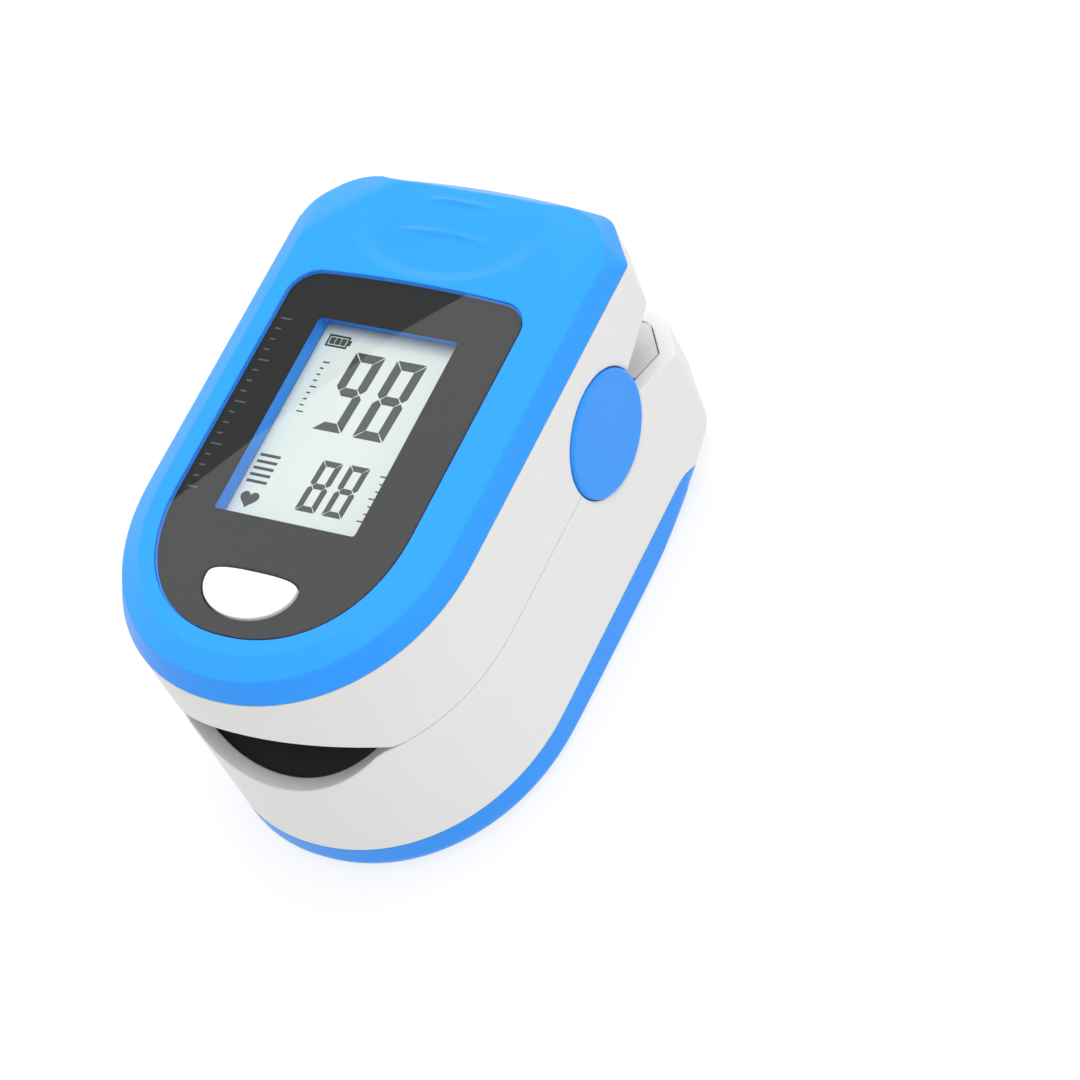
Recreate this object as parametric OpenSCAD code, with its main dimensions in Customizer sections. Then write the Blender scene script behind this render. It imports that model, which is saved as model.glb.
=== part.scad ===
// Fingertip pulse oximeter: a sprung two-jaw clip with a display, a button,
// a finger channel between silicone pads and a two-cell battery bay.
// +X is the right-hand side, +Y the pinch end (the finger enters from -Y), +Z up.
// The origin is on the ground, under the middle of the body.
// "Front" is the finger end, "rear" is the pinch end.

/* [Body] */
// Width across the side walls
body_w = 35; // [34.6:0.2:36]
// Length from the finger mouth to the pinch end
body_l = 58.2; // [58:0.2:60]
// Exponent of the rounded front outline, 2 is an ellipse
nose_n = 2.1; // [2:0.05:2.4]
// Length of the rounded front, from its centre to the tip
nose_b = 19; // [18:0.5:20]
// Thickness of the outer walls
wall = 1.5; // [1.4:0.05:1.5]
// Rounding radius of the bottom edge at the pinch end
bottom_r = 3.3; // [3:0.1:3.6]
// Rounding radius of the bottom edge along the sides
side_r = 1.0; // [0.9:0.1:1.2]
// Rounding radius of the bottom edge at the front
front_r = 2.0; // [1.8:0.1:2.4]
// How far the upper jaw stops short of the lower one at the pinch end
upper_short = 0.5; // [0.4:0.1:0.6]

/* [Levels] */
// Height of the line where the two jaws meet
part_z = 17.7; // [17.65:0.05:17.75]
// Gap between the two jaws when closed
jaw_gap = 0.2; // [0.15:0.05:0.3]
// Height of the lower edge of the top cover
cover_z = 28.33; // [28.3:0.01:28.4]
// Height of the flat top
top_z = 31.8; // [31.8:0.05:32]
// Height of the upper edge of the battery door
door_z = 3.8; // [3.8:0.05:4]

/* [Hinge] */
// Position of the hinge axis along the body
hinge_y = 10.9; // [10.9:0.05:11]
// Height of the hinge axis
hinge_z = 18.8; // [18.75:0.05:18.85]
// Radius of the hinge pin
pin_r = 1.0; // [0.9:0.05:1.1]
// Radial clearance of the pin in the moving ears
pin_clear = 0.05; // [0.03:0.01:0.08]
// Visible radius of the hinge caps
cap_r = 6.13; // [6:0.01:6.2]
// How far a cap stands proud of the side wall
cap_proud = 0.2; // [0.2:0.05:0.6]

/* [Finger channel] */
// Radius of the arched finger surfaces
finger_r = 16.6; // [16.4:0.1:16.8]
// Height of the roof of the channel at its middle
roof_z = 23.0; // [22.9:0.05:23]
// Height of the floor pad at its middle
floor_z = 13.0; // [13:0.05:13.1]
// Height of the front lip at its middle
lip_z = 13.6; // [13.4:0.1:13.8]
// Thickness of each silicone pad
pad_t = 1.0; // [0.9:0.05:1]
// Position of the optical sensor along the body
sensor_y = -6; // [-8:0.5:-5]

/* [Display] */
// Half the width of the display lens
lens_hw = 12.7; // [12.5:0.1:12.8]
// Left edge of the clear window
win_x0 = -8.1; // [-8.2:0.02:-7.8]
// Right edge of the clear window
win_x1 = 7.1; // [7:0.05:7.5]
// Front edge of the clear window
win_y0 = -11.85; // [-12.1:0.01:-11.8]
// Rear edge of the clear window
win_y1 = 9.88; // [9.6:0.01:9.9]

/* [Battery] */
// Radius of a battery cell
cell_r = 5.25; // [5.1:0.05:5.25]
// Length of a battery cell
cell_l = 44.5; // [44:0.1:44.5]
// Distance of each cell from the middle plane
cell_x = 5.45; // [5.4:0.05:5.45]
// Height of the cells
cell_z = 6.5; // [6.45:0.05:6.5]
// Radius of the lanyard hole
lanyard_r = 1.3; // [1.1:0.05:1.3]

/* [Hidden] */
$fn = 48;

// body plan
half_w = body_w / 2;
front_y = -body_l / 2;
rear_y = body_l / 2;
nose_y = front_y + nose_b;
facet_normal = [0.780, 0.6255]; // outward normal of the rear corner facet
facet_l = 5.7;                  // where the facet leaves the side wall, before the rear end
facet_const = facet_normal.x * half_w + facet_normal.y * (rear_y - facet_l);
rear_bow = 0.0045;              // the rear edge falls back by this times x squared
wide_x = [-half_w - 2, half_w + 2];

// jaw faces, and the pinch gap edges behind the hinge: [y, z] from the hinge axis
upper_z = part_z + jaw_gap / 2;
lower_z = part_z - jaw_gap / 2;
gap_end = 20.2;
lower_gap = [[6.3, -1.87], [8.68, -2.75], [12.8, -4.35], [16.3, -5.49], [gap_end, -6.45]];
upper_gap = [[6.3, 1.87], [9.11, 2.82], [12.9, 4.15], [16.3, 5.25], [gap_end, 6.2]];

// finger channel: radii, and heights of the axes of the arched surfaces
floor_r = finger_r + 0.2;
floor_seat_r = floor_r + pad_t + 0.05;
floor_shell_r = floor_r + pad_t + 0.8;
roof_seat_r = finger_r + pad_t + 0.05;
roof_shell_r = finger_r + pad_t + 1.05;
roof_axis_z = roof_z - finger_r;
floor_axis_z = floor_z + floor_r;
lip_axis_z = lip_z + finger_r;
mouth_end = -14;
pad_end = 5.1;
seat_end = 5.2;
shell_end = 5.4;
stop_y = [5.2, 6.4];

// hinge parts
knuckle_r = 7.7;
knuckle_x = [12.0, 14.3];
ear_x = [9.9, 11.8];
flange_r = 7.05;
tray_hw = 11.85; // half-width between the knuckles

// pinch plates and battery door
pinch_y = 17.6;
step_end = 18.6;
door_end = 20.3;
door_round = 4.6;

// battery bay, from contact to contact
spring_l = 3.2;
bay_y0 = front_y + 6.3;
bay_y1 = bay_y0 + cell_l + spring_l;
bay_inner = [bay_y0 - 0.4, bay_y1 + 0.4];
bay_outer = [bay_y0 - 1.4, bay_y1 + 1.4];

// circuit board, display and cover levels
pcb_z = 26;
pcb_top = pcb_z + 1;
on_pcb = pcb_z + 1.01;
under_pcb = pcb_z - 0.01;
lcd_z = 28.3;
button_z = 29.0;
seat_z = top_z - 0.45;
cover_in = 29.7;

// screw places [x, y] on the right; each has a twin on the left
tray_post = [12.9, -4];
front_post = [9.5, -17];
rear_post = [7.5, 13.2];
pilot_r = 0.72;
clear_r = 0.85;
switch_at = [-0.12, -20.15];

// ---------------------------------------------------------------- outlines
function signed_pow(v, power) = (v < 0 ? -1 : 1) * pow(abs(v), power);
// front half of a superellipse, counter-clockwise from the left
function front_oval(half_x, length, centre_y, exponent, steps) =
    [for (i = [0:steps]) let (t = 180 + 180 * i / steps)
        [half_x * signed_pow(cos(t), 2 / exponent),
         centre_y + length * signed_pow(sin(t), 2 / exponent)]];
// x where the corner facet meets the gently curved rear edge
function rear_corner_x(inset) =
    let (rest = facet_const - facet_normal.y * rear_y - (1 - facet_normal.y) * inset)
    (facet_normal.x - sqrt(facet_normal.x * facet_normal.x
        - 4 * facet_normal.y * rear_bow * (rest - 0.3 * 0)))
    / (2 * facet_normal.y * rear_bow);
// plan outline of the body moved inwards
function outline(inset) =
    let (side_x = half_w - inset,
         side_y = (facet_const - inset - facet_normal.x * side_x) / facet_normal.y)
    concat(
        front_oval(side_x, nose_b - inset, nose_y, nose_n, 36),
        [[side_x, side_y]],
        [for (i = [0:8]) let (x = rear_corner_x(inset) * (1 - i / 4))
            [x, rear_y - inset - rear_bow * x * x]],
        [[-side_x, side_y]]);

lens_corner_r = 3;
lens_corner_x = lens_hw - lens_corner_r;
lens_corner_y = 11.7;
// rear right (start 0) or rear left (start 90) corner of the lens
function lens_corner(centre_x, start, inset) =
    [for (i = [0:6]) let (t = start + 90 * i / 6)
        [centre_x + (lens_corner_r - inset) * cos(t),
         lens_corner_y + (lens_corner_r - inset) * sin(t)]];
// lens outline: a round front and a slightly bowed rear with rounded corners
function lens_outline(inset) = concat(
    front_oval(lens_hw - inset, 13.9 - inset, -10.4, 2.2, 32),
    lens_corner(lens_corner_x, 0, inset),
    [for (i = [1:7]) let (x = lens_corner_x * (1 - i / 4)) [x, 15.05 - inset - 0.0037 * x * x]],
    lens_corner(-lens_corner_x, 90, inset));

button_hw = 4.87;
button_y = -18.8;
// power button: a deep round front and a shallow rear
function button_outline(inset) = [for (p = concat(
    front_oval(button_hw - inset, 3.6 - inset, button_y, 2.0, 18),
    [for (i = [1:11]) let (t = 180 * i / 12)
        [(button_hw - inset) * signed_pow(cos(t), 2 / 3),
         button_y + (1.35 - inset) * signed_pow(sin(t), 2 / 3)]])) p + [-0.15, 0]];

// upright profile with a rounded bottom, low_r at its negative end and high_r at the other
function tub(half, inset, low_r, high_r) =
    let (low = max(low_r - inset, 0.15), high = max(high_r - inset, 0.15)) concat(
    [[-half - 1, 40], [-half - 1, inset + low], [-half + inset, inset + low]],
    [for (i = [1:7]) let (t = 180 + 90 * i / 8)
        [-half + inset + low + low * cos(t), inset + low + low * sin(t)]],
    [[-half + inset + low, inset], [half - inset - high, inset]],
    [for (i = [1:7]) let (t = 270 + 90 * i / 8)
        [half - inset - high + high * cos(t), inset + high + high * sin(t)]],
    [[half - inset, inset + high], [half + 1, inset + high], [half + 1, 40]]);

// ---------------------------------------------------------------- shared shapes
// x, y and z given as lists are [start, end]
module box(x, y, z) translate([x[0], y[0], z[0]]) cube([x[1] - x[0], y[1] - y[0], z[1] - z[0]]);
module mid_box(half_x, y, z) box([-half_x, half_x], y, z);
module sensor_box(half_x, half_y, z) mid_box(half_x, [sensor_y - half_y, sensor_y + half_y], z);
module plate(points, z, height) translate([0, 0, z]) linear_extrude(height) polygon(points);
module prism(inset, z) plate(outline(inset), z[0], z[1] - z[0]);
module ring(outer, inner, z) difference() {
    prism(outer, z);
    prism(inner, [z[0] - 1, z[1] + 1]);
}
// side-view profile [y, z] extruded across the body
module side_profile(points, x) translate([x[0], 0, 0]) rotate([90, 0, 90])
    linear_extrude(x[1] - x[0]) polygon(points);
// front-view profile [x, z] extruded along the body
module front_profile(points, y) translate([0, y[1], 0]) rotate([90, 0, 0])
    linear_extrude(y[1] - y[0]) polygon(points);
// cylinder across the body on the hinge axis, and the same on both sides
module across(radius, x) translate([x[0], hinge_y, hinge_z]) rotate([0, 90, 0])
    cylinder(r = radius, h = x[1] - x[0], $fn = 72);
module across_both(radius, x) {
    across(radius, x);
    across(radius, [-x[1], -x[0]]);
}
// cylinder along the body
module along(radius, axis_z, y) translate([0, y[1], axis_z]) rotate([90, 0, 0])
    cylinder(r = radius, h = y[1] - y[0], $fn = 96);
module arc_pad(inner_r, outer_r, axis_z, y) difference() {
    along(outer_r, axis_z, y);
    along(inner_r, axis_z, [y[0] - 1, y[1] + 1]);
}
module both() {
    children();
    mirror([1, 0, 0]) children();
}
module pair_at(place, z) both() translate([place.x, place.y, z]) children();

// screw pointing up with a cross slot, underside of the head at the origin
module screw(length, head_r) difference() {
    union() {
        cylinder(r = head_r, h = 0.7);
        cylinder(r = 0.7, h = length);
    }
    mid_box(0.8, [-0.16, 0.16], [-1, 0.3]);
    mid_box(0.16, [-0.8, 0.8], [-1, 0.3]);
}

// tube along a list of points, its section frame built from a fixed direction
module tube(path, radius, direction, sides) {
    last = len(path) - 1;
    function unit(v) = v / norm(v);
    points = [for (i = [0:last])
        let (tangent = unit(path[min(i + 1, last)] - path[max(i - 1, 0)]),
             u = unit(cross(tangent, direction)),
             w = cross(u, tangent))
        for (j = [0:sides - 1])
            path[i] + radius * (cos(360 * j / sides) * u + sin(360 * j / sides) * w)];
    walls = [for (i = [0:last - 1]) for (j = [0:sides - 1])
        let (a = i * sides + j, b = i * sides + (j + 1) % sides)
        [a, a + sides, b + sides, b]];
    start_face = [for (j = [0:sides - 1]) j];
    end_face = [for (j = [sides - 1:-1:0]) last * sides + j];
    polyhedron(points, concat([start_face], walls, [end_face]), convexity = 8);
}

// the side of the parting line that reaches from face_z to far_z
module jaw_side(gap, face_z, far_z, shift) side_profile(concat(
    [[front_y - 2, far_z], [front_y - 2, face_z], [hinge_y, face_z]],
    [for (p = gap) [hinge_y + p[0], hinge_z + p[1] + shift]],
    [[hinge_y + gap_end, far_z]]), [-half_w - 3, half_w + 3]);
module below_gap(shift = 0) jaw_side(lower_gap, lower_z, -3, shift);
module above_gap(shift = 0) jaw_side(upper_gap, upper_z, 40, shift);

// bore, cap holes and flange recesses that both jaws share
module hinge_cuts(bore_r, flange_x) {
    across(bore_r, [-half_w - 1, half_w + 1]);
    across_both(cap_r + 0.12, [half_w - wall - 0.2, half_w + 1]);
    across_both(7.3, [flange_x, half_w - wall + 0.001]);
}

// ---------------------------------------------------------------- lower jaw
// outside of the lower jaw moved inwards
module lower_body(inset) intersection() {
    prism(inset, [-1, 36]);
    front_profile(tub(half_w, inset, side_r, side_r), [front_y - 2, rear_y + 2]);
    side_profile(tub(rear_y, inset, front_r, bottom_r), wide_x);
}
// side view of the space taken by the door
function door_side(clearance) = concat(
    [[front_y - 2, -2], [door_end + clearance, -2]],
    [for (i = [0:8]) let (t = 90 * i / 8)
        [door_end - door_round + (door_round + clearance) * cos(t),
         door_z - door_round + (door_round + clearance) * sin(t)]],
    [[front_y - 2, door_z + clearance]]);

// outer wall, open below for the door
module lower_wall() intersection() {
    difference() {
        lower_body(0);
        lower_body(wall);
        side_profile(door_side(0.1), wide_x);
    }
    below_gap();
}
// band inside the wall, out to the given inset
module lower_band(inset, y_end, z) difference() {
    intersection() {
        lower_body(inset);
        mid_box(half_w, [front_y, y_end], z);
    }
    lower_body(2.6);
}
module battery_bay() intersection() {
    lower_body(1.25);
    union() {
        both() box([11.0, 12.4], bay_outer, [4.5, 11.4]);
        mid_box(half_w, [bay_outer[0], bay_inner[0]], [1.5, 11.0]);
        mid_box(half_w, [bay_inner[1], bay_outer[1]], [1.2, 12.0]);
        // ribs to the side walls
        both() for (y = [-11, 1, 19.6]) box([12, half_w], [y, y + 1], [4.5, 11.4]);
        // blocks for the tray screws
        both() box([11, half_w], [-6.2, -1.8], [door_z + 0.1, 5.8]);
    }
}

module lower_housing() color("whitesmoke") difference() {
    union() {
        lower_wall();
        // thick lip round the finger mouth
        intersection() {
            ring(1.2, 2.0, [9, lower_z]);
            mid_box(half_w, [front_y, mouth_end], [0, 20]);
        }
        // ledge above the door and the skirt that the door slides on
        lower_band(0.6, 21, [door_z + 0.1, 5.6]);
        lower_band(1.25, 20.9, [0, 5.0]);
        battery_bay();
        // knuckles that hold the hinge pin
        both() {
            across(knuckle_r, knuckle_x);
            box(knuckle_x, [5.6, 16.2], [4.6, 17]);
        }
    }
    // room for the cells and their contacts
    mid_box(10.95, bay_inner, [1.1, 12.6]);
    // finger mouth
    along(finger_r, lip_axis_z, [front_y - 1, mouth_end]);
    hinge_cuts(pin_r, 14.35);
    // lanyard hole
    translate([0, rear_y + 1, 10.1]) rotate([90, 0, 0]) cylinder(r = lanyard_r, h = 4);
    // grooves for the rails of the door
    both() box([15.3, 16.6], [front_y + 2, 20.4], [2.55, 3.65]);
    // tray screws, their counterbores and the room for the tray posts
    pair_at(tray_post, 0) {
        cylinder(r = clear_r, h = 8);
        cylinder(r = 1.5, h = 5.0);
    }
    pair_at(tray_post, 5.8) cylinder(r = 1.9, h = 8);
}

// cradle under the pad
module tray_cradle() intersection() {
    prism(2.1, [10, lower_z]);
    union() {
        along(floor_shell_r, floor_axis_z, [front_y, shell_end]);
        mid_box(half_w, [front_y, shell_end], [lower_z - 1, lower_z]);
    }
    difference() {
        mid_box(half_w, [front_y, shell_end], [0, 20]);
        along(floor_seat_r, floor_axis_z, [front_y - 1, 6]);
    }
}
// lower pinch plate with the thumb side of the lanyard pocket
module tray_pinch_plate() intersection() {
    prism(wall + 0.12, [10, 20]);
    union() {
        difference() {
            intersection() {
                below_gap();
                mid_box(half_w, [pinch_y, 27.5], [10, 20]);
            }
            intersection() {
                below_gap(-1);
                mid_box(half_w, [17, 28], [9, 20]);
            }
        }
        // ramp of the pocket, with its side walls
        side_profile([[20.9, 14.2], [21.9, 14.4], [26.5, 12.1],
            [26.5, 13.0], [21.9, 15.3], [20.9, 15.3]], [-4.7, 4.7]);
        both() intersection() {
            below_gap();
            side_profile([[21.5, 14.4], [26.5, 12.1], [26.5, 16], [21.5, 16]], [3.9, 4.7]);
        }
    }
}
// pocket opening, round at the front, that leaves the ramp standing
module pocket_cut() difference() {
    union() {
        translate([0, 25.6, 8]) cylinder(r = 3.8, h = 12);
        mid_box(3.8, [25.6, 30], [8, 20]);
    }
    side_profile([[20, 8], [26.5, 8], [26.5, 12.95], [21.9, 15.25], [20, 16.2]], [-5, 5]);
}

module finger_tray() color("lightgray") difference() {
    union() {
        tray_cradle();
        // finger stop
        intersection() {
            along(floor_shell_r, floor_axis_z, stop_y);
            mid_box(tray_hw, stop_y, [0, lower_z]);
        }
        // floor under the hinge and the step up to the pinch plate
        mid_box(tray_hw, [5.3, step_end], [12.2, 13.2]);
        intersection() {
            mid_box(tray_hw, [pinch_y, step_end], [12.2, 20]);
            below_gap();
        }
        tray_pinch_plate();
        pair_at(tray_post, 5.85) cylinder(r = 1.75, h = 11);
        // seat of the lower spring arm
        box([-4.2, -2.2], [15.6, 17.8], [13, 14.05]);
    }
    pocket_cut();
    // clear of the knuckles and the cap flanges
    both() box([tray_hw, half_w], [3.0, 18.8], [0, 30]);
    // sensor opening and ribbon slot
    sensor_box(2.6, 2.4, [8, 16]);
    mid_box(1.9, [6.45, 7.2], [10, 15]);
    pair_at(tray_post, 5) cylinder(r = pilot_r, h = 5);
    // clear of the finger pad
    along(floor_seat_r, floor_axis_z, [front_y - 1, seat_end]);
}
module tray_screws() color("silver") pair_at(tray_post, 4.27) screw(5.2, 1.3);

module lower_finger_pad() color("dimgray") difference() {
    intersection() {
        arc_pad(floor_r, floor_r + pad_t, floor_axis_z, [front_y, pad_end]);
        prism(2.1, [10, lower_z - 0.2]);
    }
    sensor_box(3.1, 2.6, [8, 20]);
    both() box([11.7, half_w], [2.8, 8], [10, 20]);
}
// window that fills the opening of a pad whose finger surface has the given radius
module sensor_window(radius, axis_z, z) intersection() {
    arc_pad(radius + 0.05, radius + pad_t - 0.05, axis_z, [sensor_y - 2.5, sensor_y + 2.5]);
    sensor_box(3, 2.5, z);
}
module lower_sensor_window() color("mistyrose") sensor_window(floor_r, floor_axis_z, [10, 20]);
module emitter_board() color("darkgreen") sensor_box(2.45, 2.2, [11.1, 11.5]);
module emitter_led() color("white") difference() {
    sensor_box(1.6, 1.1, [11.52, 12.0]);
    both() translate([0.75, sensor_y, 11.75]) cylinder(r = 0.5, h = 1);
}

// ---------------------------------------------------------------- batteries
// cell along +Y with its button end last
module cell() rotate([-90, 0, 0]) {
    cylinder(r = cell_r, h = cell_l - 1.0);
    cylinder(r = 1.9, h = cell_l);
}
// the two cells lie head to tail
module battery_left() color("darkorange")
    translate([-cell_x, bay_y1 - cell_l, cell_z]) cell();
module battery_right() color("darkorange")
    translate([cell_x, bay_y0 + cell_l, cell_z]) mirror([0, 1, 0]) cell();

// conical compression spring along +Y, starting at the origin
module cone_spring(length, start_r, end_r, turns) tube([for (i = [0:turns * 14])
    let (s = i / (turns * 14), radius = start_r + (end_r - start_r) * s)
    [radius * cos(360 * turns * s), 0.25 + (length - 0.5) * s, radius * sin(360 * turns * s)]],
    0.22, [0, 1, 0], 6);
module battery_spring() cone_spring(spring_l, 3.1, 1.9, 3.5);
module battery_springs() color("silver") {
    translate([-cell_x, bay_y0, cell_z]) battery_spring();
    translate([cell_x, bay_y1, cell_z]) mirror([0, 1, 0]) battery_spring();
}
module contact(x, y) box(x, [y, y + 0.38], [2.6, 10.4]);
module battery_contact_plates() color("gainsboro") {
    both() contact([1.4, 9.0], bay_y0 - 0.39);
    both() box([4.0, 6.4], [bay_y0 - 0.39, bay_y0 - 0.01], [10.2, 11.4]);
    contact([-9.0, 9.0], bay_y1 + 0.01);
}

module battery_door() color("dodgerblue") difference() {
    union() {
        difference() {
            intersection() {
                lower_body(0);
                side_profile(door_side(0), wide_x);
            }
            lower_body(1.1);
        }
        // rails that run in the grooves of the skirt
        both() box([15.5, 16.8], [-4, 14.5], [2.75, 3.45]);
    }
    // thumb grooves in the underside, shorter towards the rear
    for (i = [0:4]) mid_box(5 - 0.5 * i, [3 + 2 * i, 4 + 2 * i], [-1, 0.35]);
}

// ---------------------------------------------------------------- hinge
module hinge_pin() color("silver") across(pin_r, [-15.1, 15.1]);
module hinge_cap() color("dodgerblue") difference() {
    union() {
        across(cap_r, [half_w - wall - 0.1, half_w + cap_proud]);
        across(flange_r, [14.65, half_w - wall - 0.1]);
        across(2.4, [14.35, 15]);
    }
    across(pin_r, [14, 15.15]);
}
module hinge_cap_left() mirror([1, 0, 0]) hinge_cap();
module hinge_cap_right() hinge_cap();

// torsion spring round the pin: an arm down to the tray on the left, the coil,
// half a turn more, and an arm up to the housing on the right
spring_r = 2.0;
wire_r = 0.33;
coil_x = 3.3;
coil_turns = 7;
coil_steps = 112;
function coil_point(x, t) = [x, hinge_y + spring_r * cos(t), hinge_z + spring_r * sin(t)];
module torsion_spring() color("silver") tube(concat(
    [for (s = [5.9:-0.8:0.3]) [-coil_x, hinge_y + s, hinge_z - spring_r - s * 0.34]],
    [for (i = [0:coil_steps])
        coil_point(-coil_x + 2 * coil_x * (i / coil_steps), -90 - 360 * coil_turns * i / coil_steps)],
    [for (i = [0:17]) coil_point(coil_x, -90 - 180 * i / 17)],
    [for (s = [0.3:0.8:5.9]) [coil_x, hinge_y + s, hinge_z + spring_r + s * 0.42]]),
    wire_r, [1, 0, 0], 8);

// flat ribbon from the board down behind the finger stops and forward to the emitter
module ribbon_cable() color("peru") side_profile([[4.5, 25.62], [6.62, 25.62], [6.62, 10.98],
    [sensor_y - 2, 10.98], [sensor_y - 2, 10.68], [6.92, 10.68], [6.92, 25.92], [4.5, 25.92]],
    [-1.5, 1.5]);

// ---------------------------------------------------------------- upper jaw
// cuts away what lies behind the shorter rear end of the upper jaw
module rear_trim(z0) difference() {
    mid_box(half_w + 2, [15, rear_y + 3], [z0, 40]);
    translate([0, -upper_short - 0.3, 0]) prism(-0.3, [5, 40]);
}

// outer wall, mouth lip and the tongue that locates the top cover
module upper_wall() {
    intersection() {
        ring(0, wall, [upper_z, cover_z]);
        above_gap();
    }
    intersection() {
        ring(1.2, 2.0, [upper_z, cover_z]);
        mid_box(half_w, [front_y, mouth_end], [0, 30]);
    }
    ring(1.2, 2.2, [27, cover_z]);
    intersection() {
        ring(wall + 0.12, 2.2, [cover_z - 0.5, 29.0]);
        mid_box(half_w, [front_y, 20], [0, 30]);
    }
}
// arch over the finger, the floor beside it and the front posts for the board
module finger_arch() intersection() {
    prism(1.0, [upper_z, 30]);
    union() {
        along(roof_shell_r, roof_axis_z, [front_y, shell_end]);
        mid_box(half_w, [front_y, shell_end], [upper_z, upper_z + 1]);
        pair_at(front_post, 18) cylinder(r = 1.7, h = pcb_z - 18);
    }
}
module upper_pinch_plate() intersection() {
    prism(1.0, [10, 30]);
    mid_box(half_w, [pinch_y, rear_y], [10, 30]);
    difference() {
        above_gap();
        above_gap(1.1);
    }
}
// hinge ears, the bridge between them and the rear posts for the board
module hinge_ears() {
    both() {
        across(3.2, ear_x);
        side_profile([[hinge_y - 3.2, hinge_z], [hinge_y + 3.2, hinge_z], [hinge_y + 4, 21],
            [step_end, 21.0], [step_end, 25], [5.3, 25], [5.3, 21], [hinge_y - 3.6, 21]], ear_x);
    }
    pair_at(rear_post, 24.5) cylinder(r = 1.6, h = pcb_z - 24.5);
    mid_box(11.8, [11.6, step_end], [24, 25]);
}

module upper_housing() color("whitesmoke") difference() {
    union() {
        upper_wall();
        finger_arch();
        // finger stop
        intersection() {
            along(roof_shell_r, roof_axis_z, stop_y);
            mid_box(11.8, stop_y, [upper_z, 30]);
        }
        upper_pinch_plate();
        hinge_ears();
    }
    rear_trim(10);
    // channel with its pad, and the mouth
    intersection() {
        along(roof_seat_r, roof_axis_z, [front_y, seat_end]);
        prism(2.0, [10, 30]);
    }
    along(finger_r, roof_axis_z, [front_y - 1, mouth_end]);
    hinge_cuts(pin_r + pin_clear, 14.4);
    // clear of the knuckles
    across_both(knuckle_r + 0.2, [tray_hw, 14.5]);
    sensor_box(2.8, 2.4, [22, 26]);
    for (post = [front_post, rear_post]) pair_at(post, 23.3) cylinder(r = pilot_r, h = 4);
}
module upper_finger_pad() color("dimgray") difference() {
    intersection() {
        arc_pad(finger_r, finger_r + pad_t, roof_axis_z, [front_y, pad_end]);
        prism(2.1, [upper_z + 0.2, 30]);
    }
    sensor_box(3.1, 2.6, [18, 30]);
    both() box([11.7, half_w], [2.8, 8], [10, 30]);
}
module upper_sensor_window() color("lightcyan") sensor_window(finger_r, roof_axis_z, [20, 30]);
module photodiode() color("black") sensor_box(1.9, 1.6, [24.02, 24.7]);
module photodiode_board() color("darkgreen") sensor_box(2.6, 2.2, [24.72, 25.1]);

// ---------------------------------------------------------------- electronics
module main_pcb() color("darkgreen") difference() {
    intersection() {
        mid_box(11.3, [-23.2, 14.8], [pcb_z, pcb_top]);
        prism(3.4, [pcb_z, pcb_top]);
    }
    for (post = [front_post, rear_post]) pair_at(post, 20) cylinder(r = clear_r, h = 10);
}
module pcb_screws() color("silver") for (post = [front_post, rear_post])
    pair_at(post, pcb_z + 1.72) mirror([0, 0, 1]) screw(3.7, 1.25);
// chip below the board with a row of six pins on each side
module microcontroller() color("black") {
    box([4.2, 9.2], [-3.5, 1.5], [25.0, 25.88]);
    for (i = [0:5], x = [3.8, 9.1]) let (y = -2.8 + 0.72 * i)
        box([x, x + 0.5], [y, y + 0.3], [25.8, under_pcb]);
}
module pcb_components() color("tan") {
    // capacitors and resistors below the board
    for (i = [0:4]) box([-9.2, -8.0], [-10 + 3 * i, -9.4 + 3 * i], [25.4, under_pcb]);
    for (i = [0:2]) box([5 + 1.8 * i, 6 + 1.8 * i], [-8, -6.2], [25.3, under_pcb]);
    // clock crystal
    box([-7.2, -4.4], [2.2, 3.8], [25.1, under_pcb]);
    // ribbon socket
    mid_box(2.6, [1.9, 4.3], [25.2, under_pcb]);
    // voltage converter coil and capacitor beside the switch
    translate([6.4, -18.6, on_pcb]) cylinder(r = 1.2, h = 1.1);
    box([-8.0, -5.6], [-19.4, -17.8], [on_pcb, pcb_z + 1.9]);
}
module tact_switch_body() color("dimgray") difference() {
    box([-2.36, 2.12], [-22.4, -17.9], [on_pcb, lcd_z]);
    translate([switch_at.x, switch_at.y, pcb_z + 1.1]) cylinder(r = 0.95, h = 4);
}
module switch_plunger() color("black") translate([switch_at.x, switch_at.y, pcb_z + 1.6])
    cylinder(r = 0.85, h = 28.9 - pcb_z - 1.6);

module lcd_panel() color("honeydew") mid_box(8.9, [-13.0, 10.6], [lcd_z, lcd_z + 1.3]);
module lcd_backlight() color("white") mid_box(8.6, [-11.3, 8.9], [27.3, lcd_z - 0.02]);
module lcd_connector_strips() color("gray")
    for (y = [[-12.8, -11.6], [9.2, 10.4]]) mid_box(8.2, y, [on_pcb, lcd_z - 0.01]);
module lcd_frame() color("white") difference() {
    mid_box(9.9, [-14.0, 11.6], [pcb_z + 1.02, 29.5]);
    mid_box(9.0, [-13.1, 10.7], [pcb_z, 31]);
}

// ---------------------------------------------------------------- top
// thin slice of the body outline, cut off at y_end
module slice(inset, z, y_end = 40) intersection() {
    prism(inset, [z, z + 0.01]);
    mid_box(half_w, [front_y, y_end], [0, 40]);
}
module button_hole(clearance) plate(button_outline(-clearance), 20, 20);

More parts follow.
